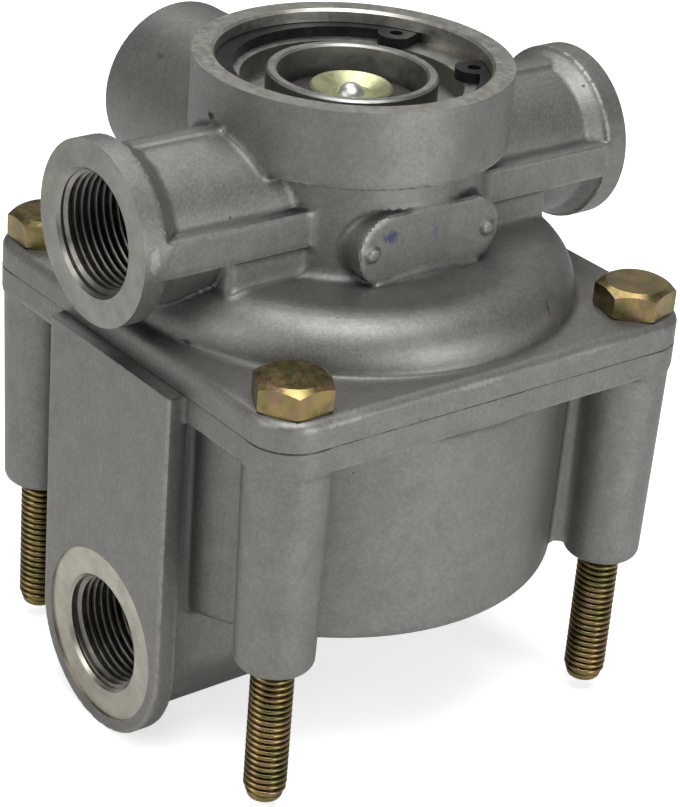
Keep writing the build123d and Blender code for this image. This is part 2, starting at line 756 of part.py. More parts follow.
# Rivet with a domed head above and a flat closing head below the web
rivet_top_z = flap_top_z + washer_thickness
rivet_cap_radius = (rivet_head_radius ** 2 + rivet_head_height ** 2) / (2 * rivet_head_height)
with BuildPart() as flap_rivet:
    with BuildSketch(Plane.XZ):
        with BuildLine():
            Polyline(
                (0, insert_spigot_z - rivet_foot_height),
                (rivet_foot_radius, insert_spigot_z - rivet_foot_height),
                (rivet_foot_radius, insert_spigot_z),
                (rivet_shank_radius, insert_spigot_z),
                (rivet_shank_radius, rivet_top_z),
                (rivet_head_radius, rivet_top_z),
            )
            RadiusArc((rivet_head_radius, rivet_top_z), (0, rivet_top_z + rivet_head_height),
                      -rivet_cap_radius)
            Line((0, rivet_top_z + rivet_head_height), (0, insert_spigot_z - rivet_foot_height))
        make_face()
    revolve(axis=Axis.Z)
flap_rivet.part.label = "flap_rivet"
export_step(flap_rivet.part, "parts/flap_rivet.step")

# Inlet valve: flanged tube that slides in the guide sleeve
valve_top_z = insert_spigot_z - valve_lift - valve_top_gap
valve_groove_top_z = valve_top_z - valve_seal_below_top + valve_seal_groove_height
valve_groove_radius = valve_tube_radius - valve_seal_groove_depth
with BuildPart() as valve_tube:
    with BuildSketch(Plane.XZ):
        with BuildLine():
            Polyline(
                (valve_tube_bore_radius, valve_head_z),
                (valve_head_radius, valve_head_z),
                (valve_head_radius, valve_head_top_z),
                (valve_tube_radius, valve_head_top_z),
                (valve_tube_radius, valve_groove_top_z - valve_seal_groove_height),
                (valve_groove_radius, valve_groove_top_z - valve_seal_groove_height),
                (valve_groove_radius, valve_groove_top_z),
                (valve_tube_radius, valve_groove_top_z),
                (valve_tube_radius, valve_top_z),
                (valve_tube_bore_radius, valve_top_z),
                (valve_tube_bore_radius, valve_head_z),
            )
        make_face()
    revolve(axis=Axis.Z)
valve_tube.part.label = "valve_tube"
export_step(valve_tube.part, "parts/valve_tube.step")

# Rubber ring bonded under the valve head
with BuildPart() as valve_rubber:
    with BuildSketch(Plane.XY.offset(seat_z)):
        Circle(valve_head_radius - valve_rubber_inset)
        Circle(valve_tube_bore_radius + valve_rubber_inset, mode=Mode.SUBTRACT)
    extrude(amount=valve_rubber_thickness)
valve_rubber.part.label = "valve_rubber"
export_step(valve_rubber.part, "parts/valve_rubber.step")

# Seal of the valve tube in the guide sleeve
valve_seal_section = (sleeve_bore_radius - valve_groove_radius) / 2 - seal_gap
with BuildPart() as valve_seal:
    with BuildSketch(Plane.XZ):
        with Locations((sleeve_bore_radius - seal_gap - valve_seal_section,
                        valve_groove_top_z - valve_seal_groove_height / 2)):
            Circle(valve_seal_section)
    revolve(axis=Axis.Z)
valve_seal.part.label = "valve_seal"
export_step(valve_seal.part, "parts/valve_seal.step")

# Thin washer under the spring
with BuildPart() as spring_seat:
    with BuildSketch(Plane.XY.offset(valve_head_top_z)):
        Circle(valve_head_radius - spring_seat_inset)
        Circle(valve_tube_radius + spring_seat_gap, mode=Mode.SUBTRACT)
    extrude(amount=spring_seat_thickness)
spring_seat.part.label = "spring_seat"
export_step(spring_seat.part, "parts/spring_seat.step")

# Spring between the valve head and the insert
spring_wire_radius = spring_wire_diameter / 2
spring_radius = sleeve_radius + spring_coil_gap + spring_wire_radius
spring_foot_z = valve_head_top_z + spring_seat_thickness + spring_wire_radius
spring_height = insert_spigot_z - spring_wire_radius - spring_foot_z
with BuildPart() as valve_spring:
    with BuildLine(Plane.XY.offset(spring_foot_z)) as spring_path:
        Helix(pitch=spring_height / spring_turns, height=spring_height, radius=spring_radius)
    with BuildSketch(Plane(origin=spring_path.line @ 0, z_dir=spring_path.line % 0)):
        Circle(spring_wire_radius - seal_gap)
    sweep()
valve_spring.part.label = "valve_spring"
export_step(valve_spring.part, "parts/valve_spring.step")

# Relay piston: crown, skirt, hub with ribs below, stem with gussets above
piston_radius = piston_bore_radius - piston_gap
piston_top_z = piston_foot_z + piston_height
skirt_inner_radius = piston_radius - piston_skirt_wall
crown_under_z = piston_top_z - piston_crown_thickness
exhaust_seat_top_z = seat_z - exhaust_gap
stem_top_z = exhaust_seat_top_z - exhaust_seat_head_height
piston_groove_top_z = piston_top_z - piston_groove_below_crown
band_z = piston_foot_z + band_foot
with BuildPart() as relay_piston:
    with BuildSketch(Plane.XZ):
        with BuildLine():
            Polyline(
                (0, crown_under_z),
                (skirt_inner_radius, crown_under_z),
                (skirt_inner_radius, piston_foot_z),
                (piston_radius, piston_foot_z),
                (piston_radius, band_z),
                (piston_radius - band_thickness, band_z),
                (piston_radius - band_thickness, band_z + band_height),
                (piston_radius, band_z + band_height),
                (piston_radius, piston_groove_top_z - piston_groove_height),
                (piston_radius - piston_groove_depth, piston_groove_top_z - piston_groove_height),
                (piston_radius - piston_groove_depth, piston_groove_top_z),
                (piston_radius, piston_groove_top_z),
                (piston_radius, piston_top_z - piston_crown_chamfer),
                (piston_radius - piston_crown_chamfer, piston_top_z),
                (stem_radius, piston_top_z),
                (stem_radius, stem_top_z),
                (stem_bore_radius, stem_top_z),
                (stem_bore_radius, stem_top_z - stem_bore_depth),
                (0, stem_top_z - stem_bore_depth),
                (0, crown_under_z),
            )
        make_face()
    revolve(axis=Axis.Z)
    with BuildSketch(Plane.XY.offset(crown_under_z)):
        Circle(piston_hub_radius)
        with PolarLocations((piston_hub_radius + skirt_inner_radius) / 2, piston_rib_count):
            Rectangle(skirt_inner_radius - piston_hub_radius + 1, piston_rib_thickness)
    extrude(amount=-piston_rib_depth)
    for gusset in range(gusset_count):
        with BuildSketch(Plane.XZ.rotated((0, 0, (gusset + 0.5) * 360 / gusset_count))) as gusset_profile:
            with BuildLine():
                Polyline(
                    (stem_radius - 1, piston_top_z),
                    (stem_radius + gusset_reach, piston_top_z),
                    (stem_radius + gusset_reach, piston_top_z + gusset_tip_height),
                    (stem_radius, piston_top_z + gusset_height),
                    (stem_radius - 1, piston_top_z + gusset_height),
                    (stem_radius - 1, piston_top_z),
                )
            make_face()
        extrude(amount=gusset_thickness / 2, both=True)
relay_piston.part.label = "relay_piston"
export_step(relay_piston.part, "parts/relay_piston.step")

# Exhaust seat pressed into the stem, with the lip that meets the valve rubber
with BuildPart() as exhaust_seat:
    with BuildSketch(Plane.XZ):
        with BuildLine():
            lip_foot_z = exhaust_seat_top_z - exhaust_seat_lip_height
            shank_radius = stem_bore_radius - exhaust_seat_shank_fit
            shank_foot_z = stem_top_z - stem_bore_depth / 2
            exhaust_seat_bore_radius = stem_bore_radius - exhaust_seat_wall
            lip_inner_radius = valve_tube_bore_radius + exhaust_seat_lip_inset
            lip_outer_radius = lip_inner_radius + exhaust_seat_lip_width
            exhaust_seat_head_radius = lip_outer_radius + exhaust_seat_edge
            Polyline(
                (exhaust_seat_bore_radius, shank_foot_z),
                (shank_radius, shank_foot_z),
                (shank_radius, stem_top_z),
                (exhaust_seat_head_radius, stem_top_z),
                (exhaust_seat_head_radius, lip_foot_z),
                (lip_outer_radius, exhaust_seat_top_z),
                (lip_inner_radius, exhaust_seat_top_z),
                (exhaust_seat_bore_radius, lip_foot_z),
                (exhaust_seat_bore_radius, shank_foot_z),
            )
        make_face()
    revolve(axis=Axis.Z)
exhaust_seat.part.label = "exhaust_seat"
export_step(exhaust_seat.part, "parts/exhaust_seat.step")

# Piston seal
piston_seal_section = (piston_bore_radius - piston_radius + piston_groove_depth) / 2 - seal_gap
with BuildPart() as piston_seal:
    with BuildSketch(Plane.XZ):
        with Locations((piston_bore_radius - seal_gap - piston_seal_section,
                        piston_groove_top_z - piston_groove_height / 2)):
            Circle(piston_seal_section)
    revolve(axis=Axis.Z)
piston_seal.part.label = "piston_seal"
export_step(piston_seal.part, "parts/piston_seal.step")

# Guide band that carries the skirt in the bore
with BuildPart() as guide_band:
    with BuildSketch(Plane.XY.offset(band_z + band_play)):
        Circle(piston_bore_radius - seal_gap)
        Circle(piston_radius - band_thickness + seal_gap, mode=Mode.SUBTRACT)
    extrude(amount=band_height - 2 * band_play)
guide_band.part.label = "guide_band"
export_step(guide_band.part, "parts/guide_band.step")
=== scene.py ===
"""Looks of a compressed-air relay valve: cast bodies, threads, bolts, seals and a small studio."""
import logging
import math
from dataclasses import dataclass, field
from enum import Enum
from typing import Callable, Sequence

import bmesh
import bpy
import numpy as np
from mathutils import Matrix, Vector


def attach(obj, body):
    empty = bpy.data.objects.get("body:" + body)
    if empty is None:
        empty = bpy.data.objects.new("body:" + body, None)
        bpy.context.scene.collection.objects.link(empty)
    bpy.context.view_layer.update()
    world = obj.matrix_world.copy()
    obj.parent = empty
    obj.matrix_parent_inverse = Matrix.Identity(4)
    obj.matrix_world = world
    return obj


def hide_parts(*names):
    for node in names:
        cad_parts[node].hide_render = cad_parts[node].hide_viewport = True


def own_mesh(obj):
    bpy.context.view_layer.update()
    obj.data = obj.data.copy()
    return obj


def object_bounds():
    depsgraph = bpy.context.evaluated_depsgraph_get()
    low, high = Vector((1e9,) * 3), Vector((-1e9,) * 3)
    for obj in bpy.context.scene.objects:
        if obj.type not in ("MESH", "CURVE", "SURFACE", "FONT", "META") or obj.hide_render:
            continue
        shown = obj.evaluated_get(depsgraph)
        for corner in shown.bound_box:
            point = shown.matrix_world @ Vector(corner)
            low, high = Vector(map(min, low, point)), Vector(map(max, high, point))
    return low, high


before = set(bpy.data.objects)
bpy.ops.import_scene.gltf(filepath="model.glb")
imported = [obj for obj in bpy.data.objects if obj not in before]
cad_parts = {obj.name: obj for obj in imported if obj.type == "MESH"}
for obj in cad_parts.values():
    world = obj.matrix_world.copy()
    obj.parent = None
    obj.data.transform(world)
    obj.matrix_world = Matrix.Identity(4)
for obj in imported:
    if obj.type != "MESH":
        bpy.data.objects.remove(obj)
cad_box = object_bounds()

log = logging.getLogger("relay_valve")

MM = 0.001
Distance = Callable[[np.ndarray, np.ndarray, np.ndarray], np.ndarray]
Point = tuple[float, float]


class Body(str, Enum):
    """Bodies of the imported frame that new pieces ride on."""

    HOUSING = "housing"


class Slot(str, Enum):
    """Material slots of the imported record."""

    CAST = "cast_aluminium"
    ZINC = "yellow_zinc"
    STEEL = "bright_steel"


class Side(Enum):
    """Direction in which a radial port opens, as degrees about the valve's axis."""

    RIGHT = 0.0
    REAR = 90.0
    LEFT = 180.0


# Sizes


@dataclass(frozen=True)
class ValveSizes:
    """Sizes of the valve in millimetres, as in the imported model."""

    bolt_half_spacing: float = 39.0
    corner_radius: float = 8.3
    parting: float = 46.0
    flange_top: float = 51.5
    lip_foot: float = 40.8
    dome_radius: float = 44.2
    dome_shoulder: float = 8.6
    dome_top: float = 61.3
    waist_radius: float = 25.3
    collar_radius: float = 29.1
    collar_foot: float = 79.7
    collar_top: float = 94.0
    port_height: float = 70.4
    port_face: float = 54.6
    boss_radius: float = 16.65
    boss_rear: float = 49.8
    neck_radius: float = 14.4
    flare_length: float = 3.1
    flare_step: float = 0.5
    side_rib_half_height: float = 3.4
    block_edge: float = 1.5
    dome_wall: float = 3.9
    hollow_shoulder: float = 6.6
    spot_depth: float = 0.4
    thread_start: float = 0.8
    bolt_root_radius: float = 3.32
    bolt_crest_radius: float = 4.0
    block_half_width: float = 15.7
    block_reach: float = 36.5
    thread_radius: float = 11.0
    thread_depth: float = 18.0
    thread_pitch: float = 1.5
    cover_radius_top: float = 45.9
    cover_radius_foot: float = 45.25
    cover_foot: float = -1.0
    control_face: float = 50.3
    control_height: float = -11.9
    control_half_width: float = 19.4
    duct_half_width: float = 16.2
    duct_end: float = 11.8
    bolt_end: float = -28.5
    bolt_head_flats: float = 13.0
    bolt_head_height: float = 5.3
    bolt_head_top_radius: float = 5.6
    bolt_pitch: float = 1.25

    @property
    def flange_half(self) -> float:
        """Half the side of the square flange."""
        return self.bolt_half_spacing + self.corner_radius


SIZES = ValveSizes()


# Closed forms given by their distance


@dataclass(frozen=True)
class Form:
    """A closed form given by its signed distance in millimetres, negative inside."""

    distance: Distance

    def joined(self, other: "Form", fillet: float = 0.0) -> "Form":
        """Adds another form.

        Args:
            other: The form to add.
            fillet: Radius of the fillet in the corners between the two.

        Returns:
            The joined form.
        """

        def distance(x: np.ndarray, y: np.ndarray, z: np.ndarray) -> np.ndarray:
            a, b = self.distance(x, y, z), other.distance(x, y, z)
            if fillet <= 0:
                return np.minimum(a, b)
            reach = np.hypot(np.maximum(fillet - a, 0), np.maximum(fillet - b, 0))
            return np.maximum(fillet, np.minimum(a, b)) - reach

        return Form(distance)

    def turned(self, degrees: float) -> "Form":
        """Turns the form about the vertical axis.

        Args:
            degrees: Angle of the turn.

        Returns:
            The turned form.
        """
        c, s = math.cos(math.radians(degrees)), math.sin(math.radians(degrees))
        return Form(lambda x, y, z: self.distance(x * c + y * s, y * c - x * s, z))

    def moved(self, dx: float, dy: float, dz: float = 0.0) -> "Form":
        """Moves the form by the given millimetres.

        Args:
            dx: Way along X.
            dy: Way along Y.
            dz: Way along Z.

        Returns:
            The moved form.
        """
        return Form(lambda x, y, z: self.distance(x - dx, y - dy, z - dz))


def rounded(across: np.ndarray, along: np.ndarray, edge: float) -> np.ndarray:
    """Distance to a slice of a prism whose end edges are rounded.

    Args:
        across: Distance to the prism's outline, negative inside.
        along: Distance to the slab between its ends, negative inside.
        edge: Radius of the rounding.

    Returns:
        The combined distance.
    """
    a, b = across + edge, along + edge
    return np.minimum(np.maximum(a, b), 0) + np.hypot(np.maximum(a, 0), np.maximum(b, 0)) - edge


def drum(radius: float, low: float, high: float, edge: float = 0.0, foot_radius: float | None = None) -> Form:
    """Upright drum, with straight or drafted sides.

    Args:
        radius: Radius at the top.
        low: Height of the foot.
        high: Height of the top.
        edge: Rounding of both end edges.
        foot_radius: Radius at the foot of a drafted drum.

    Returns:
        The form.
    """
    slope = 0.0 if foot_radius is None else (radius - foot_radius) / (high - low)

    def distance(x: np.ndarray, y: np.ndarray, z: np.ndarray) -> np.ndarray:
        across = np.hypot(x, y) - radius - slope * (z - high)
        return rounded(across, np.abs(z - (low + high) / 2) - (high - low) / 2, edge)

    return Form(distance)


def lying_drum(radius: float, low: float, high: float, height: float, edge: float = 0.0,
               low_radius: float | None = None) -> Form:
    """Drum whose axis lies along +X at a given height.

    Args:
        radius: Radius at the far end.
        low: Where it starts along X.
        high: Where it ends along X.
        height: Height of its axis.
        edge: Rounding of both end edges.
        low_radius: Radius at the near end of a flared drum.

    Returns:
        The form.
    """
    upright = drum(radius, low, high, edge, low_radius)
    return Form(lambda x, y, z: upright.distance(y, z - height, x))


def plate(half_x: float, half_y: float, corner: float, low: float, high: float, edge: float = 0.0) -> Form:
    """Flat plate with a rounded rectangular outline.

    Args:
        half_x: Half its length along X.
        half_y: Half its length along Y.
        corner: Radius of its corners.
        low: Height of its underside.
        high: Height of its top.
        edge: Rounding of its top and bottom edges.

    Returns:
        The form.
    """

    def distance(x: np.ndarray, y: np.ndarray, z: np.ndarray) -> np.ndarray:
        qx, qy = np.abs(x) - half_x + corner, np.abs(y) - half_y + corner
        across = np.hypot(np.maximum(qx, 0), np.maximum(qy, 0)) + np.minimum(np.maximum(qx, qy), 0) - corner
        return rounded(across, np.abs(z - (low + high) / 2) - (high - low) / 2, edge)

    return Form(distance)


def slot_wall(radius: float, foot: float, top: float, near: float, far: float, edge: float = 0.0) -> Form:
    """Upright wall across X, with a round lower end.

    Args:
        radius: Half its width and the radius of its round end.
        foot: Height of the round end's centre.
        top: Height up to which it stands.
        near: Where it starts along X.
        far: Where it ends along X.
        edge: Rounding of its edges.

    Returns:
        The form.
    """

    def distance(x: np.ndarray, y: np.ndarray, z: np.ndarray) -> np.ndarray:
        across = np.hypot(y, np.minimum(z - foot, 0)) - radius
        return np.maximum(rounded(across, np.abs(x - (near + far) / 2) - (far - near) / 2, edge), z - top)

    return Form(distance)


def tapered_rib(foot_half: float, top_half: float, foot: float, top: float, reach: float,
                edge: float) -> Form:
    """Upright rib along +X whose sides lean inwards.

    Args:
        foot_half: Half its width at the foot.
        top_half: Half its width at the top.
        foot: Height of the foot.
        top: Height of the top.
        reach: Where it ends along X.
        edge: Rounding of its top edges.

    Returns:
        The form.
    """
    lean = (foot_half - top_half) / (top - foot)

    def distance(x: np.ndarray, y: np.ndarray, z: np.ndarray) -> np.ndarray:
        across = np.abs(y) - foot_half + lean * (z - foot)
        slab = np.abs(z - (foot + top) / 2) - (top - foot) / 2
        return np.maximum(rounded(across, slab, edge), np.abs(x - reach / 2) - reach / 2)

    return Form(distance)


def flat_slot(length: float, height: float, near: float, far: float, level: float, edge: float) -> Form:
    """Lying slot-shaped pad across Y.

    Args:
        length: Its overall length along X.
        height: Its overall height.
        near: Where it starts along Y.
        far: Where it ends along Y.
        level: Height of its centre.
        edge: Rounding of its edges.

    Returns:
        The form.
    """
    half = (length - height) / 2

    def distance(x: np.ndarray, y: np.ndarray, z: np.ndarray) -> np.ndarray:
        across = np.hypot(x - np.clip(x, -half, half), z - level) - height / 2
        return rounded(across, np.abs(y - (near + far) / 2) - (far - near) / 2, edge)

    return Form(distance)


# Meshes


@dataclass
class Shell:
    """Points in millimetres and the faces between them."""

    points: np.ndarray
    faces: list[tuple[int, ...]] | np.ndarray

    def to_object(self, name: str, material: bpy.types.Material | None = None) -> bpy.types.Object:
        """Makes a linked object of the shell.

        Args:
            name: Name of the object and its mesh.
            material: Material for all its faces.

        Returns:
            The object, with smooth faces.
        """
        mesh = bpy.data.meshes.new(name)
        mesh.from_pydata((self.points * MM).tolist(), [], [tuple(map(int, f)) for f in self.faces])
        mesh.polygons.foreach_set("use_smooth", [True] * len(mesh.polygons))
        mesh.update()
        if material is not None:
            mesh.materials.append(material)
        result = bpy.data.objects.new(name, mesh)
        bpy.context.scene.collection.objects.link(result)
        return result

    def placed(self, matrix: Matrix) -> "Shell":
        """Moves the shell's points.

        Args:
            matrix: Place of the shell, in millimetres.

        Returns:
            The placed shell.
        """
        m = np.array(matrix)
        return Shell(self.points @ m[:3, :3].T + m[:3, 3], self.faces)


CORNERS = np.array([(i, j, k) for i in (0, 1) for j in (0, 1) for k in (0, 1)])
CELL_EDGES = [(a, b) for a in range(8) for b in range(a + 1, 8) if np.abs(CORNERS[a] - CORNERS[b]).sum() == 1]


def skin(form: Form, low: Sequence[float], high: Sequence[float], cell: float) -> Shell:
    """Wraps a form in a mesh of even square faces that lie on its surface.

    Args:
        form: The form.
        low: Lowest corner of the space to search, in millimetres.
        high: Highest corner of that space.
        cell: Side of the faces, in millimetres.

    Returns:
        The closed shell, its faces outward.
    """
    axes = [np.arange(l, h + cell, cell, dtype=np.float32) for l, h in zip(low, high)]
    gx, gy, gz = np.meshgrid(*axes, indexing="ij")
    values = form.distance(gx, gy, gz).astype(np.float32)
    inside = values < 0
    n = np.array(values.shape)
    count = np.zeros(n - 1, dtype=np.int8)
    for corner in CORNERS:
        part = tuple(slice(c, c + size - 1) for c, size in zip(corner, n))
        count += inside[part]
    cells = np.argwhere((count > 0) & (count < 8))
    index = np.full(n - 1, -1, dtype=np.int64)
    index[tuple(cells.T)] = np.arange(len(cells))
    at = [values[tuple((cells + corner).T)] for corner in CORNERS]
    total, hits = np.zeros((len(cells), 3)), np.zeros(len(cells))
    for a, b in CELL_EDGES:
        crossed = (at[a] < 0) != (at[b] < 0)
        t = np.where(crossed, at[a] / np.where(crossed, at[a] - at[b], 1), 0)
        total += (CORNERS[a] + t[:, None] * (CORNERS[b] - CORNERS[a])) * crossed[:, None]
        hits += crossed
    points = np.array(low) + (cells + total / hits[:, None]) * cell
    for _ in range(2):
        points = settle(form, points, cell / 4)
    faces = []
    for axis in range(3):
        u, v = (axis + 1) % 3, (axis + 2) % 3
        first = [slice(1, s - 1) for s in n]
        first[axis] = slice(0, n[axis] - 1)
        second = list(first)
        second[axis] = slice(1, n[axis])
        here, there = inside[tuple(first)], inside[tuple(second)]
        for leaving in (True, False):
            spot = np.argwhere((here & ~there) if leaving else (~here & there))
            spot[:, [u, v]] += 1
            ring = []
            for du, dv in ((0, 0), (-1, 0), (-1, -1), (0, -1)):
                cell_at = spot.copy()
                cell_at[:, u] += du
                cell_at[:, v] += dv
                ring.append(index[tuple(cell_at.T)])
            faces.append(np.stack(ring if leaving else ring[::-1], axis=1))
    return Shell(points, np.concatenate(faces))


def slope(form: Form, points: np.ndarray, step: float) -> np.ndarray:
    """Gradient of a form's distance at some points.

    Args:
        form: The form.
        points: Points in millimetres.
        step: Half the span that the gradient is measured over.

    Returns:
        One vector for each point.
    """
    result = np.empty_like(points)
    for axis in range(3):
        ahead, behind = points.copy(), points.copy()
        ahead[:, axis] += step
        behind[:, axis] -= step
        result[:, axis] = (form.distance(*ahead.T) - form.distance(*behind.T)) / (2 * step)
    return result


def settle(form: Form, points: np.ndarray, step: float) -> np.ndarray:
    """Moves points onto a form's surface.

    Args:
        form: The form.
        points: Points near its surface, in millimetres.
        step: Half the span that the gradient is measured over.

    Returns:
        The moved points.
    """
    along = slope(form, points, step)
    size = np.maximum((along**2).sum(axis=1), 0.25)
    return points - along * (form.distance(*points.T) / size)[:, None]


def edge_strength(form: Form, points: np.ndarray, reach: float) -> np.ndarray:
    """Says how sharply a form's surface bends.

    Args:
        form: The form.
        points: Points on its surface, in millimetres.
        reach: Distance that the bend is measured over.

    Returns:
        One number for each point: positive on outer edges, negative in corners, near 0 on flats.
    """
    total = np.zeros(len(points))
    for axis in range(3):
        for sign in (-1, 1):
            moved = points.copy()
            moved[:, axis] += sign * reach
            total += form.distance(*moved.T)
    return (total - 6 * form.distance(*points.T)) / reach


def lathe(profile: Sequence[Point], segments: int = 160, closed: bool = False) -> Shell:
    """Turns a profile about the vertical axis.

    Args:
        profile: Radius and height of each point, from the foot up on the outside.
        segments: Faces around.
        closed: True joins the last point to the first, for a ring.

    Returns:
        The closed shell. A point on the axis becomes one point.
    """
    points: list[tuple[float, float, float]] = []
    rings: list[list[int]] = []
    angles = np.linspace(0, 2 * math.pi, segments, endpoint=False)
    for radius, height in profile:
        if radius < 1e-9:
            rings.append([len(points)] * segments)
            points.append((0.0, 0.0, height))
        else:
            rings.append(list(range(len(points), len(points) + segments)))
            points.extend((radius * math.cos(a), radius * math.sin(a), height) for a in angles)
    pairs = list(zip(rings, rings[1:])) + ([(rings[-1], rings[0])] if closed else [])
    faces = []
    for lower, upper in pairs:
        for i in range(segments):
            j = (i + 1) % segments
            ring = list(dict.fromkeys((lower[i], lower[j], upper[j], upper[i])))
            if len(ring) > 2:
                faces.append(tuple(ring))
    return Shell(np.array(points), faces)


def arc(centre: Point, radius: float, start: float, end: float, steps: int = 6) -> list[Point]:
    """Points along an arc of a profile.

    Args:
        centre: Radius and height of its centre.
        radius: Its radius.
        start: Angle where it starts, in degrees.
        end: Angle where it ends.
        steps: Number of runs.

    Returns:
        The points, with both ends.
    """
    angles = np.radians(np.linspace(start, end, steps + 1))
    return [(centre[0] + radius * math.cos(a), centre[1] + radius * math.sin(a)) for a in angles]


def cut(target: bpy.types.Object, cutters: Sequence[bpy.types.Object]) -> None:
    """Cuts solids out of an object, whose new faces take the cutters' material.

    Args:
        target: The object to cut.
        cutters: Closed objects, which are removed afterwards.
    """
    for cutter in cutters:
        modifier = target.modifiers.new("cut", "BOOLEAN")
        modifier.operation = "DIFFERENCE"
        modifier.solver = "MANIFOLD"
        modifier.material_mode = "TRANSFER"
        modifier.object = cutter
    bake(target)
    for cutter in cutters:
        bpy.data.objects.remove(cutter)


def bake(target: bpy.types.Object) -> None:
    """Applies an object's modifiers to its mesh.

    Args:
        target: The object.
    """
    graph = bpy.context.evaluated_depsgraph_get()
    mesh = bpy.data.meshes.new_from_object(target.evaluated_get(graph), preserve_all_data_layers=True,
                                           depsgraph=graph)
    mesh.name = target.name
    target.modifiers.clear()
    target.data = mesh


def weld(mesh: bpy.types.Mesh, gap: float) -> None:
    """Closes up points that lie together and drops faces without area.

    Args:
        mesh: The mesh.
        gap: Largest distance between such points, in millimetres.
    """
    work = bmesh.new()
    work.from_mesh(mesh)
    bmesh.ops.remove_doubles(work, verts=work.verts, dist=gap * MM)
    bmesh.ops.dissolve_degenerate(work, edges=work.edges, dist=gap * MM / 4)
    work.to_mesh(mesh)
    work.free()


def weigh_normals(target: bpy.types.Object) -> None:
    """Shades by the larger faces, so that slivers beside a cut don't show.

    Args:
        target: The object.
    """
    modifier = target.modifiers.new("weigh", "WEIGHTED_NORMAL")
    modifier.mode = "FACE_AREA"
    modifier.keep_sharp = True
    bake(target)


def face_outward(mesh: bpy.types.Mesh) -> None:
    """Turns a closed mesh's faces outward.

    Args:
        mesh: The mesh.
    """
    work = bmesh.new()
    work.from_mesh(mesh)
    bmesh.ops.recalc_face_normals(work, faces=work.faces)
    work.to_mesh(mesh)
    work.free()


def sharpen(target: bpy.types.Object, degrees: float) -> None:
    """Shades an object smoothly, with sharp edges where its faces meet at more than an angle.

    Args:
        target: The object.
        degrees: That angle.
    """
    target.data.polygons.foreach_set("use_smooth", [True] * len(target.data.polygons))
    target.data.set_sharp_from_angle(angle=math.radians(degrees))


def store(mesh: bpy.types.Mesh, name: str, values: np.ndarray) -> None:
    """Stores one number for each point of a mesh.

    Args:
        mesh: The mesh.
        name: Name of the attribute.
        values: The numbers.
    """
    layer = mesh.attributes.new(name, "FLOAT", "POINT")
    layer.data.foreach_set("value", np.asarray(values, dtype=np.float32))


def mesh_points(mesh: bpy.types.Mesh) -> np.ndarray:
    """Reads a mesh's points.

    Args:
        mesh: The mesh.

    Returns:
        The points in millimetres.
    """
    flat = np.empty(len(mesh.vertices) * 3, dtype=np.float32)
    mesh.vertices.foreach_get("co", flat)
    return flat.reshape(-1, 3).astype(float) / MM


# Finishes


def linear(hex_colour: str) -> tuple[float, float, float, float]:
    """Converts an sRGB colour to the values that shader sockets take.

    Args:
        hex_colour: Colour such as "#8a8b86".

    Returns:
        Linear red, green, blue and an alpha of 1.
    """
    channels = [int(hex_colour[i:i + 2], 16) / 255 for i in (1, 3, 5)]
    r, g, b = (c / 12.92 if c <= 0.04045 else ((c + 0.055) / 1.055) ** 2.4 for c in channels)
    return r, g, b, 1.0


def add_node(tree: bpy.types.NodeTree, kind: str, settings: dict[str, object] | None = None,
             **sockets: object) -> bpy.types.Node:
    """Adds a node with its settings, values and links.

    Args:
        tree: The node tree.
        kind: Type name of the node.
        settings: Attributes to set.
        sockets: Input values or output sockets to link, by input name with _ for a space, or input_N.

    Returns:
        The node.
    """
    node = tree.nodes.new(kind)
    for key, value in (settings or {}).items():
        setattr(node, key, value)
    for key, value in sockets.items():
        socket = node.inputs[int(key[6:])] if key.startswith("input_") else node.inputs[key.replace("_", " ")]
        if isinstance(value, bpy.types.NodeSocket):
            tree.links.new(value, socket)
        else:
            socket.default_value = value
    return node


